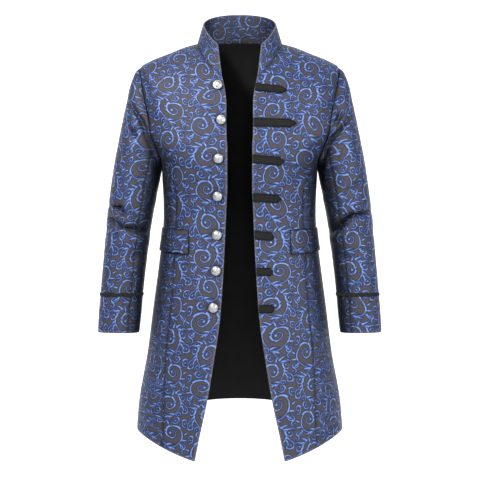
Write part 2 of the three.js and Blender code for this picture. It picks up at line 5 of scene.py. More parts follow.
import bpy
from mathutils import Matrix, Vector


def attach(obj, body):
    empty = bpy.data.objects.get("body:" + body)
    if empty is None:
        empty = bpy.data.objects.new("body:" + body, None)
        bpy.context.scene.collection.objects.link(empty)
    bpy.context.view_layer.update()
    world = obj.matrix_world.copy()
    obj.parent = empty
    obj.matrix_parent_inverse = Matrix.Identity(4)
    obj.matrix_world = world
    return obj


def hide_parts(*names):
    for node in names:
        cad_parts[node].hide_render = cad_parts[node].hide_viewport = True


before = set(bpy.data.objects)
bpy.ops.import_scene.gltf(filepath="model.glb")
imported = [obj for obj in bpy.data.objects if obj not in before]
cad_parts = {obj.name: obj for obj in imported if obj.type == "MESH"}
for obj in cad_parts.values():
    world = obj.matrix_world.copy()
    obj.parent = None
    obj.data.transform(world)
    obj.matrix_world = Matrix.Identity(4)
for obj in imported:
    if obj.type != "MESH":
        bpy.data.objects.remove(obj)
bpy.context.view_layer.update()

# Sizes here are in millimetres, as on a pattern, and MM turns them into the frame's metres.
MM = 0.001
BODY_NAME = "root"

# How thick the cloths are, and how far pieces lie from each other
CLOTH = 2.0
COLLAR_CLOTH = 2.6
LINING_CLOTH = 1.2
SEAM_GAP = 0.3
LIFT = 0.35
LINING_LIFT = 0.5


def table(columns, *rows):
    """Rows of numbers as dictionaries with the named columns."""
    names = columns.split()
    return [dict(zip(names, row)) for row in rows]


# Body sections. down: how far the side point lies below the origin; wide: half width;
# front, back: how far the centre front and back stand from the side line; front_drop, back_drop:
# how much lower they lie than the side point; square: 2 is an ellipse, more is boxier.
BODY = table(
    "down wide front front_drop back back_drop square",
    (0, 97.6, 92, 90, 66, -12, 2.3),
    (9, 128, 98, 98, 76, -4, 2.3),
    (23, 162, 104, 108, 88, 8, 2.3),
    (37, 198, 109, 121, 98, 22, 2.35),
    (55, 227, 113, 138, 107, 40, 2.4),
    (98, 230, 119, 130, 118, 40, 2.4),
    (173, 227, 124, 94, 125, 28, 2.4),
    (240, 199, 124, 56, 122, 16, 2.4),
    (265, 185, 123, 42, 120, 11, 2.4),
    (292, 179, 121, 30, 117, 7, 2.35),
    (322, 177, 118, 18, 113, 4, 2.3),
    (359, 175, 115, 8, 108, 1, 2.25),
    (396, 174.5, 113, 1, 105, 0, 2.25),
    (432, 176.5, 115, 1, 106, 0, 2.25),
    (488, 183, 120, 4, 112, -3, 2.25),
    (598, 198, 132, 17, 126, -16, 2.25),
    (708, 212, 145, 33, 139, -30, 2.25),
    (819, 231, 159, 51, 152, -43, 2.25),
    (883, 236, 166, 60, 160, -49, 2.25),
)
NECK_DOWN = 0
SHOULDER_DOWN = 55
UNDERARM_DOWN = 292
HEM_DOWN = 883
# Above this row the cloth leans back to the shoulders, and the pattern rises by a share of that
CHEST_DOWN = 200
SHOULDER_RISE = 0.4
# The front hem line is cut up to this much between the side and turn, from this row down
HEM_LIFT = {"high": 7, "turn": 160, "from": 700}

# Front edge and side seams. low: how far below the origin; half: half width there.
FRONT_EDGE = table(
    "low half",
    (78, 43.5), (97, 36.6), (119, 32), (142, 29.8), (208, 29.5), (240, 27.7), (341, 27.6),
    (363, 28.8), (440, 32), (528, 36.4), (626, 43.5), (713, 56), (809, 72), (887, 88.5), (940, 99),
)
SIDE_FRONT_SEAM = table(
    "low half", (262, 168), (300, 150), (360, 141), (480, 146), (590, 153), (700, 165), (890, 170)
)
SIDE_BACK_SEAM = table(
    "low half", (230, 172), (300, 128), (396, 108), (500, 118), (700, 140), (883, 156)
)
SEAM_EASE = 60
# The share of a section's front drop by which its front edge lies lower
EDGE_DROP = 0.95

# Armhole: an oval on the body, its reach a share of the section's depth at mid height. The side
# seams meet it at these angles from the shoulder, to the front and to the back
ARMHOLE_REACH = 0.55
SIDE_FRONT_AT = 135
SIDE_BACK_AT = 120

# Sleeve rings, from the armhole to the cuff: outer point, inner point, half depth, and how far the
# ring's middle lies in front of the side line
SLEEVE = table(
    "at out_x out_low in_x in_low deep fore",
    (0, 227, 55, 179.4, 292, 68, 0),
    (1, 237, 62.5, 180.2, 296, 68.5, 0),
    (2, 245, 79, 181, 300, 69, 0),
    (3, 252.5, 101, 182, 305, 69.5, 0),
    (4, 260, 137, 183, 311, 70, 0),
    (5, 268, 175, 184.5, 319, 70.5, 1),
    (6, 277, 221, 187, 331, 71, 2),
    (7, 286, 267, 190, 344, 70.5, 3),
    (8, 293, 313, 192, 359, 69, 4),
    (9, 299.5, 362, 196, 378, 66.5, 6),
    (10, 304.5, 405, 201.5, 411, 64, 8),
    (11, 308, 450, 207, 452, 61, 10),
    (12, 311, 490, 212, 491, 58.5, 13),
    (13, 314.5, 530, 216.5, 530, 55.5, 16),
    (14, 317.5, 570, 220.5, 570, 52.5, 19),
    (15, 321, 615, 224, 615, 49, 23),
    (16, 323, 660, 228.5, 661, 46, 27),
)
LAST_RING = 16
SLEEVE_SQUARE = 2.15
# The top sleeve's seams, in degrees from the outer line
TOP_SLEEVE_FRONT = 120
TOP_SLEEVE_BACK = 105
# The sleeve follows the armhole down to this ring, and stands off it by a share of the seam gap
ARMHOLE_HOLD = 4
ARMHOLE_LIFT = 0.3
# The share of its height over which the side body's columns spread out
SIDE_SPREAD = 0.33
# More than 1 crowds the shoulder's rows towards the neck
SHOULDER_SPACING = 1.25
# Rings where the cuff's band starts and ends
CUFF_BAND = {"start": 14.02, "end": 14.18, "thick": 1.4}
CUFF_BAND_TALL = 7
CUFF_CORDS = 2
# How thick the band is between its cords, as a share
CUFF_GROOVE = 0.55

# Folds, as strokes on the front or back view. x, low to to_x, to_low; wide: half width of the
# trough or ridge; deep: its depth, less than 0 for a ridge; face: 1 on the front, -1 on the back.
FOLD = "x low to_x to_low wide deep face"
SLEEVE_FOLDS = table(
    FOLD,
    (250, 130, 205, 205, 11, 4.5, 1),
    (226, 165, 192, 262, 9, 4, 1),
    (262, 215, 222, 290, 14, -3, 1),
    (204, 430, 255, 392, 10, 4.5, 1),
    (206, 455, 270, 452, 12, -2.5, 1),
    (212, 480, 262, 500, 11, 3.5, 1),
    (312, 430, 275, 445, 11, 3.5, 1),
)
FINE_SLEEVE_FOLDS = {
    "left": table(
        FOLD,
        (230, 163, 196, 208, 4.5, 6.5, 1),
        (248, 176, 200, 235, 4.5, 8, 1),
        (240, 168, 206, 214, 5, -4, 1),
        (206, 196, 184, 270, 9, 8, 1),
        (238, 345, 276, 316, 6, 6, 1),
        (230, 250, 200, 300, 6, 2.4, 1),
        (204, 432, 250, 396, 5.5, 11, 1),
        (242, 398, 300, 384, 5, 10, 1),
        (216, 450, 270, 410, 9, -7, 1),
        (236, 448, 212, 466, 4, 2.2, 1),
        (300, 470, 262, 482, 6, 1.8, 1),
        (226, 540, 246, 600, 7, 1.6, 1),
        (306, 560, 290, 640, 8, 1.4, 1),
        (245, 400, 300, 430, 8, 3.0, -1),
        (240, 470, 300, 462, 7, 2.6, -1),
        (262, 520, 300, 500, 7, 1.8, -1),
        (250, 150, 215, 230, 9, 2.6, -1),
        (270, 200, 235, 290, 9, 2.0, -1),
    ),
    "right": table(
        FOLD,
        (254, 134, 214, 186, 4.5, 7, 1),
        (214, 186, 180, 262, 9, 9, 1),
        (254, 186, 229, 221, 4.5, 7, 1),
        (238, 146, 206, 196, 5, -4, 1),
        (302, 371, 266, 378, 4.5, 9, 1),
        (270, 376, 256, 398, 4.5, 7, 1),
        (296, 400, 270, 422, 5.5, 10, 1),
        (276, 420, 204, 432, 5.5, 10, 1),
        (290, 387, 240, 412, 9, -7, 1),
        (226, 258, 206, 318, 7, 1.8, 1),
        (208, 428, 240, 418, 4, 2.4, 1),
        (300, 396, 262, 408, 6, 2.0, 1),
        (306, 426, 276, 448, 5, 2.6, 1),
        (232, 500, 262, 520, 6, 1.8, 1),
        (246, 570, 240, 636, 8, 1.4, 1),
        (250, 410, 300, 420, 8, 2.8, -1),
        (245, 455, 296, 476, 7, 2.6, -1),
        (246, 160, 212, 246, 9, 2.8, -1),
        (276, 230, 246, 300, 9, 1.8, -1),
    ),
}
TORSO_FOLDS = {
    "left": table(
        FOLD,
        (205, 150, 172, 205, 12, 2.4, 1),
        (196, 215, 150, 265, 13, 2.2, 1),
        (150, 330, 165, 440, 16, -1.6, 1),
        (120, 560, 150, 860, 26, 2.6, 1),
        (190, 560, 215, 850, 24, 2.2, 1),
        (70, 620, 96, 880, 20, -1.8, 1),
        (60, 560, 72, 800, 26, 2.8, -1),
        (140, 540, 176, 800, 24, 2.4, -1),
        (150, 180, 120, 300, 18, 2.2, -1),
        (60, 385, 130, 405, 12, 2.0, -1),
    ),
    "right": table(
        FOLD,
        (206, 160, 178, 215, 12, 2.2, 1),
        (190, 235, 158, 275, 11, 2.0, 1),
        (154, 340, 160, 430, 15, -1.6, 1),
        (110, 600, 138, 870, 24, 2.4, 1),
        (184, 540, 206, 840, 26, 2.4, 1),
        (66, 640, 92, 880, 20, -1.6, 1),
        (54, 580, 66, 800, 26, 2.6, -1),
        (136, 560, 168, 800, 24, 2.4, -1),
        (146, 190, 116, 300, 18, 2.0, -1),
        (70, 395, 134, 400, 12, 2.2, -1),
    ),
}

COLLAR_TOP = {
    "wide": 84, "front": 88, "front_low": 27, "back": 61, "back_low": -77, "side_low": -44,
    "front_half": 49.5, "square": 2.25, "front_rise": 1.6, "back_rise": 1,
}
COLLAR_TALL = 75
COLLAR_TUCK = 1.2

FLAP = {
    "front_half": 113.5, "back_turn": 72, "front_top": 429, "front_bottom": 483,
    "back_top": 419, "back_bottom": 470, "thick": 2.2, "flare": 1.6,
}

TABS = table(
    "low tip_x tip_low wide",
    (110, 104.5, 117, 17), (190, 126, 192, 18.6), (272, 99.5, 278, 18.6), (357, 93, 360, 18),
    (440, 77, 444, 18.4), (521, 73.6, 522, 17.2), (603, 76.9, 603, 17),
)
# Shares are of the length for the point, and of the half width or the thickness for the rest
TAB_THICK = 2.6
TAB_EDGE_INSET = 1
TAB_POINT_SHARE = 0.16
TAB_CORDS = 5
TAB_POINT_POWER = 0.8
TAB_TIP = 0.08
TAB_EDGE_SHARE = 0.65
TAB_GROOVE = 0.38

BUTTONS = table(
    "half low lean",
    (48.8, 106.5, 0), (41.1, 184.6, 3), (47, 271, 5), (48.8, 354, 8), (50.2, 440, 12),
    (52.1, 519, 12), (57.9, 600, 14),
)
BUTTON_RADIUS = 10.5

# Folds: the share of their depth that their ends have, how far they go round to the other view, the
# sleeve ring where they reach their full depth, and how many half widths away they end
FOLD_END = 0.5
FOLD_WRAP = 0.35
FOLD_START = 3
FOLD_REACH = 3

BUTTON_TOP = 8.4
BUTTON_RIM = 4.6
BUTTON_RELIEF = 0.5
BUTTON_PETALS = 8
BUTTON_RINGS = 26
BUTTON_STEPS = 72
# Where the petals, the boss and the ring lie, as shares of the radius; tall: of the relief
PETALS = {"power": 0.6, "start": 0.24, "rise": 0.1, "end": 0.78, "fall": 0.12}
BOSS = {"tall": 1.3, "end": 0.26, "fall": 0.1}
RING = {"at": 0.88, "wide": 0.05}
# Radius and height, from the rim down to the shank's foot
BUTTON_UNDERSIDE = ((10.3, 4.1), (9.4, 3.7), (2.2, 3.4), (2.2, 0.95))

# Steps of a search, steps of a slope in mm and degrees, and a turn that is as good as none
HALVINGS = 22
SMALL = 0.5
NEAR_ZERO = 0.001


# Reading the tables and the body's surface

def mix(a, b, share):
    return a + (b - a) * share


def clamp(value):
    return min(1.0, max(0.0, value))


def ease(value):
    t = clamp(value)
    return t * t * (3 - 2 * t)


def read(rows, key, at, by):
    """Smooth reading of a table without overshoot (monotone cubic)."""
    last = len(rows) - 1
    if at <= rows[0][by]:
        return rows[0][key]
    if at >= rows[last][by]:
        return rows[last][key]
    i = 0
    while at > rows[i + 1][by]:
        i += 1

    def slope(k):
        return (rows[k + 1][key] - rows[k][key]) / (rows[k + 1][by] - rows[k][by])

    def tangent(k):
        if k == 0:
            return slope(0)
        if k == last:
            return slope(last - 1)
        before, after = slope(k - 1), slope(k)
        return 0 if before * after <= 0 else 2 * before * after / (before + after)

    step = rows[i + 1][by] - rows[i][by]
    t = (at - rows[i][by]) / step
    start = (1 + 2 * t) * (1 - t) ** 2 * rows[i][key] + t * (1 - t) ** 2 * step * tangent(i)
    end = t * t * (3 - 2 * t) * rows[i + 1][key] + t * t * (t - 1) * step * tangent(i + 1)
    return start + end


SECTIONS = {}


def section(down):
    """The body's section at a level, kept for the many points of one row."""
    if down not in SECTIONS:
        keys = ("wide", "front", "front_drop", "back", "back_drop", "square")
        SECTIONS[down] = {key: read(BODY, key, down, "down") for key in keys}
    return SECTIONS[down]


def rounded(degrees, square):
    """Cosine and sine on a rounded square: 2 is a circle, more is boxier."""
    angle = math.radians(degrees)
    return [math.copysign(abs(s) ** (2 / square), s) for s in (math.cos(angle), math.sin(angle))]


def body_point(down, turn):
    """Point of the left half. turn: 0 at the centre back, 90 at the side, 180 at the centre front."""
    s = section(down)
    cosine, sine = rounded(turn, s["square"])
    reach = abs(cosine)
    y = s["back"] * reach if cosine > 0 else -s["front"] * reach
    drop = (s["back_drop"] if cosine > 0 else s["front_drop"]) * reach * reach
    return Vector((s["wide"] * sine, y, -(down + drop)))


def body_normal(down, turn):
    along_turn = body_point(down, turn + SMALL) - body_point(down, turn - SMALL)
    along_down = body_point(down + SMALL, turn) - body_point(down - SMALL, turn)
    return along_turn.cross(along_down).normalized()


def front_turn(down, half):
    s = section(down)
    return 180 - math.degrees(math.asin(clamp(half / s["wide"]) ** (s["square"] / 2)))


def back_turn(down, half):
    return 180 - front_turn(down, half)


def front_edge_turn(down):
    low = down + EDGE_DROP * section(down)["front_drop"]
    return front_turn(down, read(FRONT_EDGE, "half", low, "low"))


def place_at_height(low, turn_of):
    """The place (down, turn) on the body at a given height, found by halving."""
    above, below = NECK_DOWN, HEM_DOWN
    for _ in range(HALVINGS):
        middle = (above + below) / 2
        if -body_point(middle, turn_of(middle)).z < low:
            above = middle
        else:
            below = middle
    return above, turn_of(above)


def place_on_front(half, low):
    return place_at_height(low, lambda down: front_turn(down, half))


def armhole_place(around):
    """around: 0 at the shoulder, 180 at the underarm, less than 0 on the back half."""
    angle = math.radians(around)
    down = mix(SHOULDER_DOWN, UNDERARM_DOWN, (1 - math.cos(angle)) / 2)
    share = abs(math.sin(angle)) * ARMHOLE_REACH
    turn = math.degrees(math.acos(clamp(share) ** (section(down)["square"] / 2)))
    return down, (180 - turn if around > 0 else turn)


def seam_turn(down, around, seam, turn_for):
    top_down, top_turn = armhole_place(around)
    free = turn_for(down, read(seam, "half", down, "low"))
    return mix(top_turn, free, ease((down - top_down) / SEAM_EASE))


def side_front_turn(down):
    return seam_turn(down, SIDE_FRONT_AT, SIDE_FRONT_SEAM, front_turn)


def side_back_turn(down):
    return seam_turn(down, -SIDE_BACK_AT, SIDE_BACK_SEAM, back_turn)


# Sheets: grids of points with their outward normals and cloth coordinates

class Sheet:
    """Rows run down and columns to the right, seen from outside. A ring closes on itself.
    Marks are 1 at a free edge and -1 at a seam, and fade to 0 beside them; from them the cloth is
    painted with a highlight along free edges and with shade along seams."""

    def __init__(self, points, normals, cloth, ring=False, marks=None):
        self.points, self.normals, self.cloth, self.ring = points, normals, cloth, ring
        self.marks = marks or [[0.0] * len(row) for row in points]

    def mirrored(self):
        def flip(rows):
            return [[Vector((-v.x, v.y, v.z)) for v in reversed(row)] for row in rows]
        cloth = [[(-u, v) for u, v in reversed(row)] for row in self.cloth]
        marks = [list(reversed(row)) for row in self.marks]
        return Sheet(flip(self.points), flip(self.normals), cloth, self.ring, marks)

    def moved_out(self, distance):
        """distance is a number or a function of the row and column."""
        def at(i, j):
            return distance(i, j) if callable(distance) else distance
        points = [
            [p + self.normals[i][j] * at(i, j) for j, p in enumerate(row)]
            for i, row in enumerate(self.points)
        ]
        return Sheet(points, self.normals, self.cloth, self.ring, self.marks)


def grid_normals(points, ring=False):
    rows, columns = len(points), len(points[0])

    def column(j):
        return (j + columns) % columns if ring else min(columns - 1, max(0, j))

    normals = []
    for i in range(rows):
        row = []
        for j in range(columns):
            right = points[i][column(j + 1)] - points[i][column(j - 1)]
            lower = points[min(rows - 1, i + 1)][j] - points[max(0, i - 1)][j]
            row.append(lower.cross(right).normalized())
        normals.append(row)
    return normals


def fold_depth(point, folds, frontness):
    """Depth of the folds at a point of the left side, in its front or back view."""
    depth = 0.0
    for fold in folds:
        run = Vector((fold["to_x"] - fold["x"], fold["to_low"] - fold["low"]))
        offset = Vector((point.x - fold["x"], -point.z - fold["low"]))
        share = clamp(offset.dot(run) / run.length_squared)
        distance = (offset - run * share).length
        if distance > FOLD_REACH * fold["wide"]:
            continue
        fade = FOLD_END + (1 - FOLD_END) * math.sin(math.pi * share)
        facing = ease(fold["face"] * frontness + FOLD_WRAP)
        depth += fold["deep"] * fade * facing * math.exp(-((distance / fold["wide"]) ** 2))
    return depth


def runs(points, level=False):
    """The distance along a line of points from its start to each, or level, seen from above."""
    along = [0.0]
    for a, b in zip(points, points[1:]):
        step = math.hypot(b.x - a.x, b.y - a.y) if level else (b - a).length
        along.append(along[-1] + step)
    return along


def body_cloth(places, reference):
    """Cloth coordinates in mm: along the row from a straight grain line, and up the cloth."""
    chest = section(CHEST_DOWN)
    rows = []
    for row in places:
        points = [body_point(*place) for place in row]
        along = runs(points, level=True)
        start = min(range(len(points)), key=lambda j: abs(points[j].x - reference))
        shift = points[start].x - along[start]
        line = []
        for p, s in zip(points, along):
            side = clamp(abs(p.x) / chest["wide"]) ** chest["square"]
            depth = (1 - side) ** (1 / chest["square"])
            rise = max(0, abs(chest["front"] * depth) - abs(p.y)) if -p.z < CHEST_DOWN else 0
            line.append((s + shift, -p.z - SHOULDER_RISE * rise))
        rows.append(line)
    return rows


def body_sheet(places, reference, folds):
    points, normals = [], []
    for row in places:
        line, outward = [], []
        for down, turn in row:
            p, n = body_point(down, turn), body_normal(down, turn)
            line.append(p - n * fold_depth(p, folds, -n.y))
            outward.append(n)
        points.append(line)
        normals.append(outward)
    return Sheet(points, normals, body_cloth(places, reference))


# The coat's panels on the left side; the right one is mirrored

# Rows and columns of the grids. Steps are in degrees; fine ones, beside the borders, are shares
SHOULDER_ROWS = 14
BESIDE_STEP = 3
LOWER_ROWS = 104
FRONT_COLUMNS = 54
BACK_COLUMNS = 36
SIDE_STEP = 3
FINE_STEPS = (0.004, 0.012)
COLLAR_ROWS = 18
COLLAR_COLUMNS = 140
COLLAR_FINE_ROWS = (0.008, 0.024)
COLLAR_FINE_COLUMNS = (0.0015, 0.004)
FLAP_ROWS = 12
FLAP_COLUMNS = 60
FLAP_FINE_ROWS = (0.012, 0.035)
FLAP_ROLL = 1.3
CUFF_ROWS = 12
TAB_ROWS = 30
TAB_COLUMNS = 30
# How far down its first row the lining starts
LINING_NECK_SHARE = 0.25
# How deep a border sinks, the share of that on each row from it, and how far its marks reach
SEAM_ROLL = 0.9
ROLL_PROFILE = (1.0, 0.4, 0.08)
MARK_REACH = 2.8
ALL_BORDERS = ("top", "bottom", "left", "right")
# Where the straight grain line lies on each piece
GRAIN = {"front": 75, "back": 0, "side_body": 175, "pocket_flap": 150}


def panel_rows(seam_at, side, lower_turn):
    rows = []
    for i in range(SHOULDER_ROWS):
        rows.append((mix(NECK_DOWN, SHOULDER_DOWN, (i / SHOULDER_ROWS) ** SHOULDER_SPACING), 90))
    rows.append((SHOULDER_DOWN, 90))
    for around in range(BESIDE_STEP, seam_at, BESIDE_STEP):
        rows.append(armhole_place(side * around))
    top_down = armhole_place(side * seam_at)[0]
    for share in shares(LOWER_ROWS):
        down = mix(top_down, HEM_DOWN, share)
        rows.append((down, lower_turn(down)))
    return rows


def shares(count, fine=()):
    """Even steps from 0 to 1, with finer ones near both ends."""
    inner = [i / count for i in range(1, count)]
    return [0.0, *fine, *inner, *(1 - f for f in reversed(fine)), 1.0]


def rolled(sheet, borders, depth=SEAM_ROLL):
    """The sheet with the named borders sunk, as cloth turns in at a seam or an edge."""
    last_row = len(sheet.points) - 1
    last_column = len(sheet.points[0]) - 1

    def sink(i, j):
        steps = {"top": i, "bottom": last_row - i, "left": j, "right": last_column - j}
        near = min(steps[border] for border in borders)
        return -depth * (ROLL_PROFILE[near] if near < len(ROLL_PROFILE) else 0.0)

    return sheet.moved_out(sink)


def marked(sheet, seams, free=()):
    """The sheet with marks along the named borders, from which the materials paint shade along seams
    and a highlight along free edges.
    """
    across = [runs(row) for row in sheet.points]
    down = [runs(column) for column in zip(*sheet.points)]
    marks = []
    for i, row in enumerate(sheet.points):
        line = []
        for j in range(len(row)):
            gaps = {
                "left": across[i][j], "right": across[i][-1] - across[i][j],
                "top": down[j][i], "bottom": down[j][-1] - down[j][i],
            }
            border = min(seams + free, key=gaps.get)
            line.append((1 if border in free else -1) * math.exp(-((gaps[border] / MARK_REACH) ** 2)))
        marks.append(line)
    return Sheet(sheet.points, sheet.normals, sheet.cloth, sheet.ring, marks)


def cut_to_hem(down, turn_of):
    """Ends the rows at the hem line; turn_of gives a column's turn at a height."""
    bow = math.sin(math.pi * clamp((turn_of(down) - 90) / (HEM_LIFT["turn"] - 90)))
    fall = ease((down - HEM_LIFT["from"]) / (HEM_DOWN - HEM_LIFT["from"]))
    cut = down - HEM_LIFT["high"] * bow * fall
    return cut, turn_of(cut)


def front_sheet(folds):
    places = []
    for down, turn in panel_rows(SIDE_FRONT_AT, 1, side_front_turn):
        row = []
        for share in shares(FRONT_COLUMNS, FINE_STEPS):
            def turn_of(d, share=share, turn=turn, cut=down > HEM_LIFT["from"]):
                return mix(front_edge_turn(d), side_front_turn(d) if cut else turn, share)
            row.append(cut_to_hem(down, turn_of))
        places.append(row)
    return body_sheet(places, GRAIN["front"], folds)


def back_sheet(folds):
    places = []
    for down, turn in panel_rows(SIDE_BACK_AT, -1, side_back_turn):
        places.append([(down, mix(turn, 0, share)) for share in shares(BACK_COLUMNS, FINE_STEPS)])
    return body_sheet(places, GRAIN["back"], folds)


def side_sheet(folds):
    front = [armhole_place(a) for a in range(SIDE_FRONT_AT, 180 + 1, SIDE_STEP)]
    back = [armhole_place(-a) for a in range(180 - SIDE_STEP, SIDE_BACK_AT - 1, -SIDE_STEP)]
    top = front + back
    columns = len(top) - 1
    places = []
    for fall in shares(LOWER_ROWS):
        row = []
        for j, (top_down, top_turn) in enumerate(top):
            down = mix(top_down, HEM_DOWN, fall)
            width = side_back_turn(top_down) - side_front_turn(top_down)
            start_share = clamp((top_turn - side_front_turn(top_down)) / width)
            share = mix(start_share, j / columns, ease(fall / SIDE_SPREAD))
            def turn_of(d, share=share):
                return mix(side_front_turn(d), side_back_turn(d), share)
            row.append(cut_to_hem(down, turn_of))
        places.append(row)
    return body_sheet(places, GRAIN["side_body"], folds)


# Sleeves

SLEEVE_COLUMNS = 120
SLEEVE_ROWS = 128
# Finer rows beside the armhole and the cuff, in rings
ARMHOLE_FINE_ROWS = (0.05, 0.15)
CUFF_FINE_ROW = 0.04
RING_KEYS = ("out_x", "out_low", "in_x", "in_low", "deep", "fore")
RINGS = {}


def ring_at(along):
    """The sleeve's ring at a place along it, kept for the many points of one row."""
    if along not in RINGS:
        RINGS[along] = {key: read(SLEEVE, key, along, "at") for key in RING_KEYS}
    return RINGS[along]


def ring_point(ring, around):
    across, depth = rounded(around, SLEEVE_SQUARE)
    share = (1 + across) / 2
    return Vector((
        mix(ring["in_x"], ring["out_x"], share),
        -ring["fore"] - ring["deep"] * depth,
        -mix(ring["in_low"], ring["out_low"], share),
    ))


def sleeve_point(along, around, folds):
    ring = ring_at(along)
    point = ring_point(ring, around)
    place = armhole_place(around or NEAR_ZERO)
    hold = 1 - ease(along / ARMHOLE_HOLD)
    if hold > 0:
        point += (body_point(*place) - ring_point(ring_at(0), around)) * hold
        valley = (1 - math.cos(math.radians(around))) / 2
        point += body_normal(*place) * SEAM_GAP * (ARMHOLE_LIFT + valley) * hold
    centre = Vector((
        (ring["in_x"] + ring["out_x"]) / 2, -ring["fore"], -(ring["in_low"] + ring["out_low"]) / 2
    ))
    depth = fold_depth(point, folds, math.sin(math.radians(around))) * ease(along / FOLD_START)
    return point + (centre - point).normalized() * depth


def sleeve_ring_sheet(folds, rows, columns=SLEEVE_COLUMNS):
    points = []
    for along in rows:
        points.append([sleeve_point(along, 180 - 360 * j / columns, folds) for j in range(columns)])
    down = [runs(column) for column in zip(*points)]
    front = columns // 4
    cloth = []
    for i, line in enumerate(points):
        around = runs(line, level=True)
        cloth.append([(around[j] - around[front], down[j][i] - down[j][-1]) for j in range(columns)])
    return Sheet(points, grid_normals(points, ring=True), cloth, ring=True)


def sleeve_stretch(ring, first, last):
    """Columns of the ring from one angle to another; angles fall to the right."""
    columns = len(ring.points[0])
    start = round((180 - first) * columns / 360)
    count = round((first - last) * columns / 360)

    def pick(rows):
        return [[row[(start + j) % columns] for j in range(count + 1)] for row in rows]

    cloth = pick(ring.cloth)
    for row, line in zip(cloth, ring.points):
        whole_turn = runs([*line, line[0]], level=True)[-1]
        for j in range(1, len(row)):
            u, v = row[j]
            u += whole_turn * round((row[j - 1][0] - u) / whole_turn)
            row[j] = (u, v)
    return Sheet(pick(ring.points), pick(ring.normals), cloth)


# Meshes

# The edge marks, from which the materials paint shade along seams and a highlight along free edges
MARK_NAME = "edge_mark"
UV_NAME = "cloth"
# Edges that are sharper than this many degrees stay sharp
CLOTH_SHARP = 50
METAL_SHARP = 40
# A piece's length is measured on every so many columns, and its flat sides are let out a little
LENGTH_STEP = 6
FLAT_SPARE = 1.001


def cloth_mesh(name, outer, inner, outside, inside, shift=(0, 0)):
    """A closed wall between two sheets, whose rim looks like its outside. The shift moves the
    woven pattern on the cloth, in mm."""
    rows, columns = len(outer.points), len(outer.points[0])
    vertices = [p * MM for grid in (outer, inner) for row in grid.points for p in row]
    coordinates = [c for row in outer.cloth for c in row] * 2

    def index(layer, i, j):
        return layer * rows * columns + i * columns + j % columns

    faces, slots = [], []

    def quad(a, b, c, d, slot):
        faces.append((a, b, c, d))
        slots.append(slot)

    last_row, last_column = rows - 1, columns - 1
    for j in range(columns if outer.ring else last_column):
        for i in range(last_row):
            quad(index(0, i, j), index(0, i + 1, j), index(0, i + 1, j + 1), index(0, i, j + 1), 0)
            quad(index(1, i, j), index(1, i, j + 1), index(1, i + 1, j + 1), index(1, i + 1, j), 1)
        quad(index(0, 0, j), index(0, 0, j + 1), index(1, 0, j + 1), index(1, 0, j), 2)
        quad(index(0, last_row, j), index(1, last_row, j), index(1, last_row, j + 1),
             index(0, last_row, j + 1), 2)
    if not outer.ring:
        end = last_column
        for i in range(last_row):
            quad(index(0, i, 0), index(1, i, 0), index(1, i + 1, 0), index(0, i + 1, 0), 2)
            quad(index(0, i, end), index(0, i + 1, end), index(1, i + 1, end), index(1, i, end), 2)

    mesh = bpy.data.meshes.new(name)
    mesh.from_pydata(vertices, [], faces)
    for material in (outside, inside, outside):
        mesh.materials.append(material)
    layer = mesh.uv_layers.new(name=UV_NAME)
    for polygon, slot in zip(mesh.polygons, slots):
        polygon.material_index = slot
        for loop in polygon.loop_indices:
            u, v = coordinates[mesh.loops[loop].vertex_index]
            layer.data[loop].uv = ((u + shift[0]) * MM, (v + shift[1]) * MM)
    marks = mesh.attributes.new(name=MARK_NAME, type="FLOAT", domain="POINT")
    marks.data.foreach_set("value", [mark for row in outer.marks for mark in row] * 2)
    return riding(name, mesh, CLOTH_SHARP)


def riding(name, mesh, sharp):
    """The mesh, smooth but for its sharp edges, as an object that goes with the coat's body."""
    mesh.validate()
    for polygon in mesh.polygons:
        polygon.use_smooth = True
    mesh.set_sharp_from_angle(angle=math.radians(sharp))
    obj = bpy.data.objects.new(name, mesh)
    bpy.context.scene.collection.objects.link(obj)
    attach(obj, BODY_NAME)
    return obj


def sheet_area(sheet):
    area = 0.0
    for upper, lower in zip(sheet.points, sheet.points[1:]):
        for a, b, c, d in zip(upper, upper[1:], lower[1:], lower):
            area += ((b - a).cross(d - a).length + (b - c).cross(d - c).length) / 2
    return area * MM * MM


def flat_size(sheet):
    """The sides of the flat rectangle that the piece is cut from."""
    width = max(runs(row)[-1] for row in sheet.points)
    columns = range(0, len(sheet.points[0]), LENGTH_STEP)
    length = max(runs([row[j] for row in sheet.points])[-1] for j in columns)
    return width * MM, length * MM


def declare_cut(obj, sheet):
    area = sheet_area(sheet)
    width, length = flat_size(sheet)
    scale = max(1.0, math.sqrt(area / (width * length)) * FLAT_SPARE)
    width * scale
    length * scale


def stand_for(obj, node):
    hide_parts(node)


# Materials. Colours are linear; the pattern's sizes are in mm on the cloth.

GROUND = (0.034, 0.030, 0.040, 1)
GROUND_LIGHT = (0.098, 0.086, 0.098, 1)
GROUND_RIM = (0.012, 0.016, 0.038, 1)
SCROLL_BLUE = (0.048, 0.115, 0.42, 1)
SCROLL_LIGHT = (0.26, 0.42, 0.84, 1)
LINING_BLACK = (0.019, 0.019, 0.0198, 1)
LINING_DARK = (0.012, 0.012, 0.0126, 1)
BRAID_DARK = (0.0025, 0.0028, 0.003, 1)
BRAID_LIGHT = (0.024, 0.025, 0.0235, 1)
SILVER = (0.7, 0.71, 0.73, 1)
SILVER_DARK = (0.4, 0.41, 0.43, 1)

# The woven repeat: a column with a waving stem that swells into a leaf. Each next cell up the column
# is turned over, and each next column is shifted. The motifs lie in one cell.
CELL_WIDTH = 84
CELL_HEIGHT = 72
COLUMN_SHIFT = 36
STEM_SWING = 24
STEM = {"half": 1.15, "swell": 1.5, "lobes": 8, "power": 4.0, "base": 1.2}
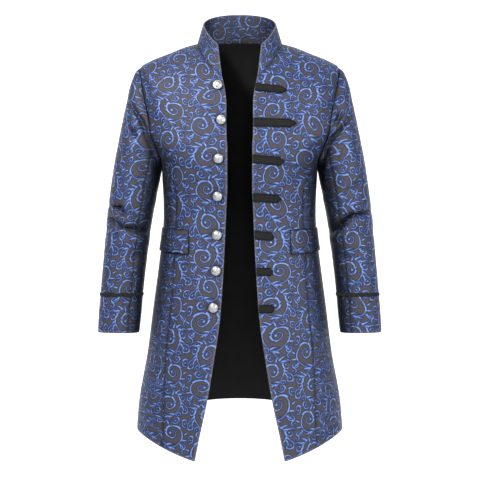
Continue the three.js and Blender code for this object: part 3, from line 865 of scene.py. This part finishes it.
# u, v: the middle; start, end: radius where the arm starts and where it ends in a ball; turn: the
# angle where it starts; sweep: how many turns it makes; half: half width; lobe: leaf lobes outside
SCROLLS = table(
    "u v start end turn hand sweep half lobes lobe ball",
    (-6, 38, 30, 4.4, 72, 1, 1.8, 1.25, 9, 3.6, 3.1),
    (31, 27, 14, 3.3, 215, -1, 1.3, 1.1, 4, 3.0, 2.4),
    (33, 58, 12, 3.1, 250, 1, 1.25, 1.1, 4, 2.8, 2.3),
    (-12, 5, 10.5, 2.8, 20, 1, 1.2, 1.05, 3, 2.6, 2.2),
    (-35, 13, 10.5, 2.9, 60, -1, 1.2, 1.05, 3, 2.6, 2.2),
    (-35, 64, 9, 2.6, -60, 1, 1.2, 1.05, 3, 2.4, 2.0),
    (16, 66, 7.5, 2.4, 150, -1, 1.0, 1.0, 2, 1.8, 1.8),
    (39, 3, 7.5, 2.3, 90, 1, 1.0, 1.0, 2, 1.8, 1.8),
)
LEAVES = table(
    "u v angle length half curve lobes",
    (-24, 58, 130, 19, 2.5, 5.0, 2),
    (-29, 50, 165, 19, 2.4, 6.0, 1),
    (-33, 39, 195, 16, 2.2, 6.0, 1),
    (2, 18, 285, 18, 2.4, 6.0, 1),
    (10, 15, 318, 23, 2.8, 7.0, 2),
    (17, 17, 350, 20, 2.4, 7.0, 1),
    (23, 38, 20, 17, 2.2, 5.0, 1),
    (24, 44, 50, 20, 2.6, 6.0, 2),
    (9, 64, 205, 21, 2.4, -6.0, 1),
    (4, 68, 182, 24, 2.8, -7.0, 2),
    (0, 71, 150, 18, 2.3, -6.0, 1),
    (12, 31, 150, 13, 1.8, 5.0, 1),
)
# How far the repeat is drawn out of true, and how many waves of that there are in a mm
DRIFT = {"across": 28, "up": 24, "scale": 0.0125}
LINE_SOFTNESS = 0.9
LEAST_RADIUS = 0.05
# The dark rim that the weave leaves round each line and the light core inside it, from and to these
# distances in mm
RIM_REACH = (0.2, 2.4)
CORE_REACH = (-0.5, -1.9)
# Noises: scale, detail and roughness. Ranges: from low and high, and then to low and high
THREAD_NOISE = (0.9, 3.0, 0.7)
THREAD_LIGHT = (0.3, 0.7)
THREAD_WEAR = (0.2, 0.8, 0.75, 1.0)
WEAR_NOISE = (0.06, 3.0, 0.6)
WEAR = (0.3, 0.7, 0.7, 1.0)
SATIN_NOISE = (0.03, 3.0)
SATIN_RANGE = (0.3, 0.7, 0.8, 1.25)
SATIN_DARK = 0.6
SATIN_RIPPLE = (0.12, 4.0)
FUZZ_NOISE = (0.8, 3.0, 0.7)
TARNISH_NOISE = (260.0, 4.0, 0.6)
TARNISH = (0.35, 0.75)
TARNISH_ROUGH = (0.3, 0.8, 0.38, 0.52)
# Threads and strands: space and rib in mm, relief against the scrolls' own
TWILL = {"slant": 0.8, "space": 0.9, "rib": 0.7, "relief": 0.35}
PLAIT = {"half": 1.8, "slant": 2.4, "space": 2.2, "shade": 0.7, "fuzz": 0.4}
# Bumps: strength, and distance in mm
WEAVE_BUMP = (0.35, 0.25)
SATIN_BUMP = (0.2, 0.6)
PLAIT_BUMP = (0.8, 0.35)
# The scrolls are smoother than their ground by the gloss. The rest is the same all over a material
GROUND_ROUGH = 0.56
SCROLL_GLOSS = 0.12
JACQUARD_SHADER = {
    "Sheen Weight": 0.05, "Sheen Roughness": 0.4, "Sheen Tint": (0.75, 0.82, 1, 1),
    "Specular IOR Level": 0.3,
}
SATIN_SHADER = {"Roughness": 0.6, "Specular IOR Level": 0.12}
BRAID_SHADER = {"Roughness": 0.8, "Specular IOR Level": 0.25, "Sheen Weight": 0.05}
SILVER_SHADER = {"Metallic": 0.85}
# Painted shade in hollows, from ambient occlusion multiplied into the colour: reach in metres
HOLLOW = {"samples": 4, "reach": 0.2, "power": 3.6}
# Painted shade along seams: the share of its colour that a seam keeps. Painted highlight along free
# edges: how much a free edge catches the light.
SEAM_SHADE = 0.42
EDGE_SHARE = 0.5
PAINTED_EDGE_HIGHLIGHT = (0.2, 0.2, 0.22, 1)
# Widths along an arm and a leaf, as shares of their half width. early: a power that moves the widest
# place towards the start; lobed: the share of its run over which an arm has lobes
ARM = {"least": 0.7, "swell": 0.5, "early": 0.7, "lobed": 0.65}
LEAF = {"early": 0.55, "base": 1.15, "taper": 0.5}


# Places of the share, the two colours and the result among a colour mix's sockets
MIX_INPUTS = (0, 6, 7)
MIX_RESULT = 2


class Value:
    """A number in a shader. Arithmetic with it adds a math node and gives the next number."""

    def __init__(self, nodes, socket):
        self.nodes, self.socket = nodes, socket

    def __add__(self, other):
        return self.nodes.math("ADD", self, other)

    def __sub__(self, other):
        return self.nodes.math("SUBTRACT", self, other)

    def __rsub__(self, other):
        return self.nodes.math("SUBTRACT", other, self)

    def __mul__(self, other):
        return self.nodes.math("MULTIPLY", self, other)

    def __truediv__(self, other):
        return self.nodes.math("DIVIDE", self, other)

    def __pow__(self, other):
        return self.nodes.math("POWER", self, other)

    def __neg__(self):
        return self * -1.0

    def __abs__(self):
        return self.nodes.math("ABSOLUTE", self)


class Nodes:
    """Short names for making and linking shader nodes."""

    def __init__(self, tree):
        self.tree = tree

    def new(self, kind, **settings):
        node = self.tree.nodes.new(kind)
        for name, value in settings.items():
            setattr(node, name, value)
        return node

    def plug(self, value, socket):
        if isinstance(value, Value):
            value = value.socket
        if isinstance(value, bpy.types.NodeSocket):
            self.tree.links.new(value, socket)
        else:
            socket.default_value = value

    def math(self, operation, *values):
        node = self.new("ShaderNodeMath", operation=operation)
        for value, socket in zip(values, node.inputs):
            self.plug(value, socket)
        return Value(self, node.outputs[0])

    def least(self, a, b):
        return self.math("MINIMUM", a, b)

    def most(self, a, b):
        return self.math("MAXIMUM", a, b)

    def kept(self, value):
        """The value, kept between 0 and 1."""
        return self.least(self.most(value, 0.0), 1.0)

    def ramp(self, value, low, high, to_low=0.0, to_high=1.0, smooth=True):
        node = self.new("ShaderNodeMapRange")
        node.interpolation_type = "SMOOTHSTEP" if smooth else "LINEAR"
        for socket, number in zip(node.inputs[:5], (value, low, high, to_low, to_high)):
            self.plug(number, socket)
        return Value(self, node.outputs[0])

    def line(self, value, *limits):
        return self.ramp(value, *limits, smooth=False)

    def colour(self, share, a, b, blend="MIX"):
        node = self.new("ShaderNodeMix", data_type="RGBA", blend_type=blend)
        for value, place in zip((share, a, b), MIX_INPUTS):
            self.plug(value, node.inputs[place])
        return node.outputs[MIX_RESULT]

    def noise(self, vector, scale, detail=2.0, roughness=0.5, output="Fac"):
        node = self.new("ShaderNodeTexNoise")
        self.plug(vector, node.inputs["Vector"])
        node.inputs["Scale"].default_value = scale
        node.inputs["Detail"].default_value = detail
        node.inputs["Roughness"].default_value = roughness
        return Value(self, node.outputs[output])

    def split(self, vector):
        """The first two numbers of a vector."""
        node = self.new("ShaderNodeSeparateXYZ")
        self.plug(vector, node.inputs[0])
        return Value(self, node.outputs[0]), Value(self, node.outputs[1])

    def mark(self):
        return Value(self, self.new("ShaderNodeAttribute", attribute_name=MARK_NAME).outputs["Fac"])

    def cloth(self):
        """The cloth coordinates in mm."""
        uv = self.new("ShaderNodeUVMap", uv_map=UV_NAME)
        scaled = self.new("ShaderNodeVectorMath", operation="SCALE")
        self.plug(uv.outputs[0], scaled.inputs[0])
        scaled.inputs["Scale"].default_value = 1 / MM
        return scaled.outputs[0]

    def bump(self, height, strength, distance):
        """A normal from a height; the distance is in mm."""
        node = self.new("ShaderNodeBump")
        node.inputs["Strength"].default_value = strength
        node.inputs["Distance"].default_value = distance * MM
        self.plug(height, node.inputs["Height"])
        return node.outputs[0]


def hypotenuse(n, x, y):
    return n.math("SQRT", x * x + y * y)


def arch(n, share):
    """0 at both ends of a stroke and 1 at its middle."""
    return n.math("SINE", share * math.pi)


def stripes(n, value, space):
    return n.math("SINE", value * (2 * math.pi / space))


def scroll_distance(n, u, v, motif):
    """Distance in mm to an arm that winds in to a ball, with leaf lobes on its outside."""
    sweep = motif["sweep"] * 2 * math.pi
    growth = math.log(motif["end"] / motif["start"]) / sweep
    turn = math.radians(motif["turn"])
    x = (u - motif["u"]) * motif["hand"]
    y = v - motif["v"]
    r = n.most(hypotenuse(n, x, y), LEAST_RADIUS)
    angle = n.math("ARCTAN2", y, x) - turn
    wound = n.math("LOGARITHM", r / motif["start"], math.e) / growth
    laps = n.math("ROUND", (wound - angle) / (2 * math.pi))
    travel = angle + laps * (2 * math.pi)
    share = travel / sweep
    off = r - n.math("POWER", math.e, travel * growth) * motif["start"]

    kept = n.kept(share)
    half = (arch(n, kept ** ARM["early"]) * ARM["swell"] + ARM["least"]) * motif["half"]
    step = n.math("FRACT", kept * motif["lobes"])
    leafy = arch(n, n.least(kept / ARM["lobed"], 1.0))
    lobe = (1.0 - step) * (leafy * motif["lobe"])
    ends = n.most(-share, share - 1.0) * (r * sweep)
    arm = n.most(n.most(off - half - lobe, -off - half), ends)

    ball_x = motif["end"] * math.cos(sweep + turn)
    ball_y = motif["end"] * math.sin(sweep + turn)
    return n.least(arm, hypotenuse(n, x - ball_x, y - ball_y) - motif["ball"])


def leaf_distance(n, u, v, motif):
    """Distance in mm to a bent leaf with a lobed edge, from its foot."""
    angle = math.radians(motif["angle"])
    cosine, sine = math.cos(angle), math.sin(angle)
    x, y = u - motif["u"], v - motif["v"]
    along = x * cosine + y * sine
    across = y * cosine - x * sine
    share = n.kept(along / motif["length"])
    off = abs(across - share * share * motif["curve"])
    step = n.math("FRACT", share * motif["lobes"])
    edge = LEAF["base"] - step * LEAF["taper"]
    half = arch(n, share ** LEAF["early"]) * edge * motif["half"]
    return n.most(off - half, n.most(-along, along - motif["length"]))


def stem_distance(n, u, v):
    wave = arch(n, v / CELL_HEIGHT)
    steep = n.math("COSINE", v * (math.pi / CELL_HEIGHT)) * (STEM_SWING * math.pi / CELL_HEIGHT)
    near = abs(u - wave * STEM_SWING) / n.math("SQRT", steep * steep + 1.0)
    step = n.math("FRACT", v * (STEM["lobes"] / CELL_HEIGHT))
    lobe = wave ** STEM["power"] * (STEM["base"] - step)
    return near - (lobe * STEM["swell"] + STEM["half"])


def pattern_distance(n, u, v):
    """Distance in mm to the nearest edge of the woven scrolls, less than 0 inside them."""
    column = n.math("FLOOR", u / CELL_WIDTH + 0.5)
    shifted = v + column * COLUMN_SHIFT
    row = n.math("FLOOR", shifted / CELL_HEIGHT)
    cell_v = shifted - row * CELL_HEIGHT
    odd = n.math("FLOORED_MODULO", row, 2.0)
    cell_u = (u - column * CELL_WIDTH) * (1.0 - odd * 2.0)
    nearest = stem_distance(n, cell_u, cell_v)
    for motif in SCROLLS:
        nearest = n.least(nearest, scroll_distance(n, cell_u, cell_v, motif))
    for motif in LEAVES:
        nearest = n.least(nearest, leaf_distance(n, cell_u, cell_v, motif))
    return nearest


def new_material(name, sockets):
    """A material with the given values set on its shader's own sockets."""
    material = bpy.data.materials.new(name)
    material.use_nodes = True
    tree = material.node_tree
    tree.nodes.clear()
    n = Nodes(tree)
    shader = n.new("ShaderNodeBsdfPrincipled")
    output = n.new("ShaderNodeOutputMaterial")
    tree.links.new(shader.outputs[0], output.inputs[0])
    for socket, value in sockets.items():
        shader.inputs[socket].default_value = value
    return material, n, shader.inputs


def with_painted_shade(n, colour, seam):
    """The colour with painted shade: darker where the cloth lies in a fold or close to another piece,
    from ambient occlusion, and darker along seams.
    """
    hollow = n.new("ShaderNodeAmbientOcclusion", samples=HOLLOW["samples"])
    hollow.inputs["Distance"].default_value = HOLLOW["reach"]
    shade = Value(n, hollow.outputs["AO"]) ** HOLLOW["power"] * seam
    return n.colour(1.0, colour, shade, "MULTIPLY")


def jacquard():
    """Dark twill ground with woven scrolls, and painted light: a highlight along free edges and shade
    along seams and in hollows.
    """
    material, n, inputs = new_material("jacquard_cloth", JACQUARD_SHADER)
    vector = n.cloth()
    u, v = n.split(vector)
    pull_u, pull_v = n.split(n.noise(vector, DRIFT["scale"], 0.0, output="Color"))
    wavy_u = u + (pull_u - 0.5) * DRIFT["across"]
    wavy_v = v + (pull_v - 0.5) * DRIFT["up"]
    distance = pattern_distance(n, wavy_u, wavy_v)
    line = n.ramp(distance, LINE_SOFTNESS / 2, -LINE_SOFTNESS / 2)

    thread = n.noise(vector, *THREAD_NOISE)
    plain = n.colour(n.ramp(thread, *THREAD_LIGHT), GROUND, GROUND_LIGHT)
    ground = n.colour(n.ramp(distance, *RIM_REACH), GROUND_RIM, plain)
    scroll = n.colour(n.ramp(distance, *CORE_REACH), SCROLL_BLUE, SCROLL_LIGHT)
    mottled = n.line(thread, *THREAD_WEAR) * n.line(n.noise(vector, *WEAR_NOISE), *WEAR)
    base = n.colour(line * mottled, ground, scroll)
    # Painted light from the edge marks: a highlight along free edges and shade along seams
    mark = n.mark()
    with_edge_highlight = n.colour(n.line(mark, 0.0, 1.0, 0.0, EDGE_SHARE), base, PAINTED_EDGE_HIGHLIGHT)
    seam = n.line(mark, 0.0, -1.0, 1.0, SEAM_SHADE)
    n.plug(with_painted_shade(n, with_edge_highlight, seam), inputs["Base Color"])
    n.plug(GROUND_ROUGH - line * SCROLL_GLOSS, inputs["Roughness"])

    twill = stripes(n, u + v * TWILL["slant"], TWILL["space"])
    rib = stripes(n, v, TWILL["rib"])
    weave = twill * (1.0 - line) + rib * line
    n.plug(n.bump(weave * TWILL["relief"] + line, *WEAVE_BUMP), inputs["Normal"])
    return material


def black_satin():
    material, n, inputs = new_material("lining_satin", SATIN_SHADER)
    vector = n.cloth()
    shade = n.line(n.noise(vector, *SATIN_NOISE), *SATIN_RANGE)
    n.plug(n.colour(shade - SATIN_DARK, LINING_DARK, LINING_BLACK), inputs["Base Color"])
    n.plug(n.bump(n.noise(vector, *SATIN_RIPPLE), *SATIN_BUMP), inputs["Normal"])
    return material


def black_braid():
    """Plaited cord: slanted strands that turn over at each cord's middle, with painted shade along
    its edges at seams.
    """
    material, n, inputs = new_material("braid_black", BRAID_SHADER)
    vector = n.cloth()
    u, v = n.split(vector)
    slant = n.math("PINGPONG", v, PLAIT["half"]) * PLAIT["slant"]
    strand = n.math("SINE", u * (2 * math.pi / PLAIT["space"]) + slant)
    shade = n.line(strand, -1.0, 1.0, 0.0, 1.0)
    # Painted shade along the braid's edges at seams, from the edge marks
    rim = n.line(n.mark(), 0.0, -1.0, 1.0, 0.0)
    tone = shade * PLAIT["shade"] + n.noise(vector, *FUZZ_NOISE) * PLAIT["fuzz"]
    n.plug(n.colour(tone * rim, BRAID_DARK, BRAID_LIGHT), inputs["Base Color"])
    n.plug(n.bump(shade, *PLAIT_BUMP), inputs["Normal"])
    return material


def silver():
    material, n, inputs = new_material("silver_polished", SILVER_SHADER)
    place = n.new("ShaderNodeTexCoord").outputs["Object"]
    tarnish = n.noise(place, *TARNISH_NOISE)
    n.plug(n.colour(n.ramp(tarnish, *TARNISH), SILVER, SILVER_DARK), inputs["Base Color"])
    n.plug(n.line(tarnish, *TARNISH_ROUGH), inputs["Roughness"])
    return material


# Pieces of cloth

CLOTH_LOOK = jacquard()
LINING_LOOK = black_satin()
BRAID_LOOK = black_braid()
SILVER_LOOK = silver()

# How far the pattern is moved on each piece, in mm, so that it breaks at the seams
PATTERN_SHIFT = {
    "front_left": (6, -14), "front_right": (-10, 21), "side_body": (31, 40), "back": (0, 12),
    "sleeve_left": (14, 33), "sleeve_right": (-22, -9), "collar": (25, 48), "pocket_flap": (40, 18),
}


def shift_for(node):
    for name, shift in PATTERN_SHIFT.items():
        if node.startswith(name):
            return shift
    return PATTERN_SHIFT["sleeve_left" if node.endswith("left") else "sleeve_right"]


def on_side(sheet, side):
    return sheet if side == "left" else sheet.mirrored()


def jacquard_piece(node, outer, inner, cut, inside=LINING_LOOK):
    """A piece of the coat's cloth between two sheets; cut is the sheet that it was cut to."""
    obj = cloth_mesh(f"{node}_cloth", outer, inner, CLOTH_LOOK, inside, shift_for(node))
    stand_for(obj, node)
    declare_cut(obj, cut)


def braid_piece(node, kind, sheet, cords):
    """Corded braid that lies on the cloth."""
    outer, inner = sheet.moved_out(cords), sheet.moved_out(LIFT)
    obj = cloth_mesh(f"{node}_{kind}", outer, inner, BRAID_LOOK, BRAID_LOOK)
    stand_for(obj, node)
    return obj


def panel(node, sheet, side, seams=("top", "left", "right"), free=("bottom",)):
    """A sewn panel of one side. Gives back its sheet, which the lining follows."""
    sheet = marked(sheet, seams, free)
    outer = on_side(rolled(sheet, ALL_BORDERS), side)
    jacquard_piece(f"{node}_{side}", outer, outer.moved_out(-CLOTH), outer)
    return sheet


def sleeve_rows():
    even = [LAST_RING * i / SLEEVE_ROWS for i in range(2, SLEEVE_ROWS)]
    return [0.0, *ARMHOLE_FINE_ROWS, *even, LAST_RING - CUFF_FINE_ROW, LAST_RING]


def build_side(side):
    folds = TORSO_FOLDS[side]
    panel("front", front_sheet(folds), side, ("top", "right"), ("left", "bottom"))
    panel("side_body", side_sheet(folds), side)
    back = panel("back", back_sheet(folds), side)

    sleeve_folds = SLEEVE_FOLDS + FINE_SLEEVE_FOLDS[side]
    ring = sleeve_ring_sheet(sleeve_folds, sleeve_rows())
    panel("sleeve_top", sleeve_stretch(ring, TOP_SLEEVE_FRONT, -TOP_SLEEVE_BACK), side)
    panel("sleeve_under", sleeve_stretch(ring, -TOP_SLEEVE_BACK, TOP_SLEEVE_FRONT - 360), side)
    build_cuff_braid(side, sleeve_folds)
    build_flap(side, folds)
    return back


def build_lining(left_back, right_back):
    right = right_back.mirrored()

    def joined(left_rows, right_rows):
        rows = [[*a, *b[1:]] for a, b in zip(left_rows, right_rows)]
        rows[0] = [a.lerp(b, LINING_NECK_SHARE) for a, b in zip(rows[0], rows[1])]
        return rows

    points = joined(left_back.points, right.points)
    normals = joined(left_back.normals, right.normals)
    cloth = [[*a, *b[1:]] for a, b in zip(left_back.cloth, right.cloth)]
    outer = Sheet(points, normals, cloth).moved_out(-(CLOTH + LINING_LIFT))
    inner = outer.moved_out(-LINING_CLOTH)
    obj = cloth_mesh("lining_back_cloth", outer, inner, LINING_LOOK, LINING_LOOK)
    stand_for(obj, "lining_back")
    declare_cut(obj, outer)


def build_cuff_braid(side, folds):
    start, end = CUFF_BAND["start"], CUFF_BAND["end"]
    rows = [mix(start, end, i / CUFF_ROWS) for i in range(CUFF_ROWS + 1)]
    sheet = on_side(sleeve_ring_sheet(folds, rows), side)
    ups = [CUFF_BAND_TALL * i / CUFF_ROWS for i in range(CUFF_ROWS + 1)]
    cloth = [[(u, up) for u, _ in row] for up, row in zip(ups, sheet.cloth)]
    sheet = Sheet(sheet.points, sheet.normals, cloth, ring=True)

    def cords(i, j):
        cord = abs(math.sin(math.pi * CUFF_CORDS * i / CUFF_ROWS))
        return LIFT + CUFF_BAND["thick"] * mix(CUFF_GROOVE, 1, cord)

    braid_piece(f"cuff_braid_{side}", "cord", sheet, cords)


def flap_sheet(folds):
    places = []
    for down_share in shares(FLAP_ROWS, FLAP_FINE_ROWS):
        row = []
        for run in shares(FLAP_COLUMNS, FINE_STEPS):
            low = mix(
                mix(FLAP["front_top"], FLAP["back_top"], run),
                mix(FLAP["front_bottom"], FLAP["back_bottom"], run),
                down_share,
            )
            start = place_on_front(FLAP["front_half"], low)[1]
            turn = mix(start, FLAP["back_turn"], run)
            row.append(place_at_height(low, lambda down, turn=turn: turn))
        places.append(row)
    return body_sheet(places, GRAIN["pocket_flap"], folds)


def build_flap(side, folds):
    sheet = on_side(marked(flap_sheet(folds), ALL_BORDERS), side)
    last = len(sheet.points) - 1
    raised = sheet.moved_out(lambda i, j: LIFT + FLAP["flare"] * i / last)
    outer = rolled(raised.moved_out(FLAP["thick"]), ALL_BORDERS, FLAP_ROLL)
    jacquard_piece(f"pocket_flap_{side}", outer, raised, sheet)


def collar_top_point(turn, edge_turn):
    """Point of the collar's top edge on the left side, above the neck point at the same turn."""
    t = COLLAR_TOP
    top_edge = 180 - math.degrees(math.asin((t["front_half"] / t["wide"]) ** (t["square"] / 2)))
    cosine, sine = rounded(turn / edge_turn * top_edge, t["square"])
    end = "back" if cosine > 0 else "front"
    low = mix(t["side_low"], t[f"{end}_low"], abs(cosine) ** t[f"{end}_rise"])
    return Vector((t["wide"] * abs(sine), t[end] * cosine, -low))


def build_collar():
    edge_turn = front_edge_turn(NECK_DOWN)
    points, cloth = [], []
    for share in shares(COLLAR_ROWS, COLLAR_FINE_ROWS):
        row = []
        for run in shares(COLLAR_COLUMNS, COLLAR_FINE_COLUMNS):
            side = 1 - 2 * run
            turn = abs(side) * edge_turn
            base = body_point(NECK_DOWN, turn)
            base.z -= COLLAR_TUCK
            point = collar_top_point(turn, edge_turn).lerp(base, share)
            row.append(Vector((math.copysign(point.x, side), point.y, point.z)))
        points.append(row)
        line = runs(row)
        middle = line[len(line) // 2]
        cloth.append([(x - middle, -COLLAR_TALL * share) for x in line])
    sheet = marked(Sheet(points, grid_normals(points), cloth), ("bottom",), ("top", "left", "right"))
    outer = rolled(sheet, ("top", "left", "right"))
    jacquard_piece("collar", outer, sheet.moved_out(-COLLAR_CLOTH), sheet, CLOTH_LOOK)


# Braid tabs and buttons

def tab_sheet(tab):
    edge = read(FRONT_EDGE, "half", tab["low"], "low") + TAB_EDGE_INSET
    length = tab["tip_x"] - edge
    places, cloth = [], []
    for i in range(TAB_ROWS + 1):
        across = 2 * i / TAB_ROWS - 1
        row, line = [], []
        for j in range(TAB_COLUMNS + 1):
            run = j / TAB_COLUMNS
            to_tip = clamp((1 - run) / TAB_POINT_SHARE)
            half = tab["wide"] / 2 * max(TAB_TIP, to_tip ** TAB_POINT_POWER)
            low = mix(tab["low"], tab["tip_low"], run) + half * across
            row.append(place_on_front(mix(edge, tab["tip_x"], run), low))
            line.append((length * run, half * across))
        places.append(row)
        cloth.append(line)
    sheet = body_sheet(places, GRAIN["front"], TORSO_FOLDS["left"])
    return marked(Sheet(sheet.points, sheet.normals, cloth), ("top", "bottom", "right"))


def build_tab(number, tab):
    sheet = tab_sheet(tab)

    def cords(i, j):
        across = 2 * i / TAB_ROWS - 1
        body = mix(1, TAB_EDGE_SHARE, across ** 2)
        groove = abs(math.sin(math.pi * TAB_CORDS * i / TAB_ROWS))
        end = 1 if 0 < j < TAB_COLUMNS else TAB_EDGE_SHARE
        return LIFT + TAB_THICK * body * end * (1 - TAB_GROOVE * (1 - groove))

    declare_cut(braid_piece(f"frog_tab_{number}", "braid", sheet, cords), sheet)


def button_height(radius, angle):
    """Height of the dome over the cloth, with a rim, a ring of petals and a raised boss."""
    share = radius / BUTTON_RADIUS
    dome = mix(BUTTON_TOP, BUTTON_RIM, share ** 2)
    petals = abs(math.cos(BUTTON_PETALS * angle / 2)) ** PETALS["power"]
    petals *= ease((share - PETALS["start"]) / PETALS["rise"])
    petals *= ease((PETALS["end"] - share) / PETALS["fall"])
    boss = BOSS["tall"] * ease((BOSS["end"] - share) / BOSS["fall"])
    ring = math.exp(-(((share - RING["at"]) / RING["wide"]) ** 2))
    return dome + BUTTON_RELIEF * (petals + boss + ring)


def circle(radius):
    angles = [2 * math.pi * k / BUTTON_STEPS for k in range(BUTTON_STEPS)]
    return [(angle, radius * math.cos(angle), radius * math.sin(angle)) for angle in angles]


def build_button(number, button):
    vertices, faces = [(0, 0, button_height(0, 0))], []
    for ring in range(1, BUTTON_RINGS + 1):
        radius = BUTTON_RADIUS * ring / BUTTON_RINGS
        vertices += [(x, y, button_height(radius, angle)) for angle, x, y in circle(radius)]
    for radius, height in BUTTON_UNDERSIDE:
        vertices += [(x, y, height) for _, x, y in circle(radius)]
    count = BUTTON_RINGS + len(BUTTON_UNDERSIDE)
    for k in range(BUTTON_STEPS):
        following = (k + 1) % BUTTON_STEPS
        faces.append((0, 1 + k, 1 + following))
        for ring in range(count - 1):
            a, b = 1 + ring * BUTTON_STEPS, 1 + (ring + 1) * BUTTON_STEPS
            faces.append((a + k, b + k, b + following, a + following))
    last = 1 + (count - 1) * BUTTON_STEPS
    faces.append(tuple(last + k for k in reversed(range(BUTTON_STEPS))))

    down, turn = place_on_front(button["half"], button["low"])
    foot = body_point(down, turn)
    outward = body_normal(down, turn)
    outward.z -= math.tan(math.radians(button["lean"]))
    foot.x, outward.x = -foot.x, -outward.x
    turned = Vector((0, 0, 1)).rotation_difference(outward.normalized())
    placed = [(turned @ Vector(v) + foot) * MM for v in vertices]

    node = f"button_{number}"
    mesh = bpy.data.meshes.new(f"{node}_metal")
    mesh.from_pydata(placed, [], faces)
    mesh.materials.append(SILVER_LOOK)
    stand_for(riding(f"{node}_metal", mesh, METAL_SHARP), node)


backs = {side: build_side(side) for side in ("left", "right")}
build_lining(backs["left"], backs["right"])
build_collar()
for number, tab in enumerate(TABS, start=1):
    build_tab(number, tab)
for number, button in enumerate(BUTTONS, start=1):
    build_button(number, button)


# Stage, light and camera

WHITE = (1, 1, 1)
STAGE_SHADER = {
    "Base Color": (0.86, 0.86, 0.86, 1), "Roughness": 1.0, "Emission Color": (*WHITE, 1),
}
# In metres: the floor's height, how far it goes to the front, back and side, the curve up to
# the backdrop, and the backdrop's top and own light
FLOOR = -1.45
STAGE_FRONT = 6
STAGE_BACK = 1.8
STAGE_CURVE = 1.2
STAGE_CURVE_STEPS = 16
STAGE_TOP = 3.2
STAGE_SIDE = 4.5
STAGE_GLOW = 0.75
# Places and sizes of the lights in metres, power in watts
CHEST = (0, 0, -0.25)
HEM = (0.1, 0, -0.7)
LIGHTS = table(
    "name place target size power colour",
    ("key", (-1.4, -2.0, 1.6), CHEST, (0.4, 0.4), 96, (1, 0.99, 0.97)),
    ("side", (2.0, -2.0, 0.3), HEM, (0.6, 0.6), 46, (0.98, 0.99, 1)),
    ("front", (0.1, -3.2, -0.4), CHEST, (0.7, 0.7), 8, WHITE),
    ("top", (0.1, 0.9, 1.6), CHEST, (1.6, 1.2), 9, WHITE),
)
WORLD_LIGHT = 0.03
# The camera stands in front of the coat's middle and sees this width there. The sensor is in mm
CAMERA_FAR = 3.0
CAMERA_SIDE = 0.0007
CAMERA_HIGH = -0.451
VIEW_WIDE = 1.104
SENSOR = 36.0


def look_at(obj, target):
    direction = Vector(target) - obj.location
    obj.rotation_euler = direction.to_track_quat("-Z", "Y").to_euler()


def area_light(name, place, target, size, power, colour):
    light = bpy.data.lights.new(name, "AREA")
    light.shape = "RECTANGLE"
    light.size, light.size_y = size
    light.energy = power
    light.color = colour
    obj = bpy.data.objects.new(name, light)
    obj.location = place
    look_at(obj, target)
    bpy.context.scene.collection.objects.link(obj)


def build_stage():
    """A pale floor that curves up into a backdrop behind the coat."""
    profile = [(-STAGE_FRONT, FLOOR)]
    for step in range(STAGE_CURVE_STEPS + 1):
        angle = math.pi / 2 * step / STAGE_CURVE_STEPS
        profile.append((
            STAGE_BACK + STAGE_CURVE * math.sin(angle), FLOOR + STAGE_CURVE * (1 - math.cos(angle))
        ))
    profile.append((STAGE_BACK + STAGE_CURVE, STAGE_TOP))
    vertices = [(side * STAGE_SIDE, y, z) for side in (-1, 1) for y, z in profile]
    count = len(profile)
    faces = [(k, k + count, k + count + 1, k + 1) for k in range(count - 1)]
    mesh = bpy.data.meshes.new("stage")
    mesh.from_pydata(vertices, [], faces)
    for name, glow in (("stage_floor", 0.0), ("stage_backdrop", STAGE_GLOW)):
        mesh.materials.append(new_material(name, {**STAGE_SHADER, "Emission Strength": glow})[0])
    for k, polygon in enumerate(mesh.polygons):
        polygon.use_smooth = True
        polygon.material_index = min(k, 1)
    obj = bpy.data.objects.new("stage", mesh)
    bpy.context.scene.collection.objects.link(obj)


build_stage()
for light in LIGHTS:
    area_light(**light)

world = bpy.data.worlds.new("studio")
world.use_nodes = True
background = world.node_tree.nodes["Background"].inputs
background["Color"].default_value = (*WHITE, 1)
background["Strength"].default_value = WORLD_LIGHT
bpy.context.scene.world = world
bpy.context.scene.view_settings.view_transform = "Standard"

camera_data = bpy.data.cameras.new("camera")
camera_data.sensor_width = SENSOR
camera_data.lens = SENSOR * CAMERA_FAR / VIEW_WIDE
camera = bpy.data.objects.new("camera", camera_data)
camera.location = (CAMERA_SIDE, -CAMERA_FAR, CAMERA_HIGH)
camera.rotation_euler = (math.pi / 2, 0, 0)
bpy.context.scene.collection.objects.link(camera)
bpy.context.scene.camera = camera
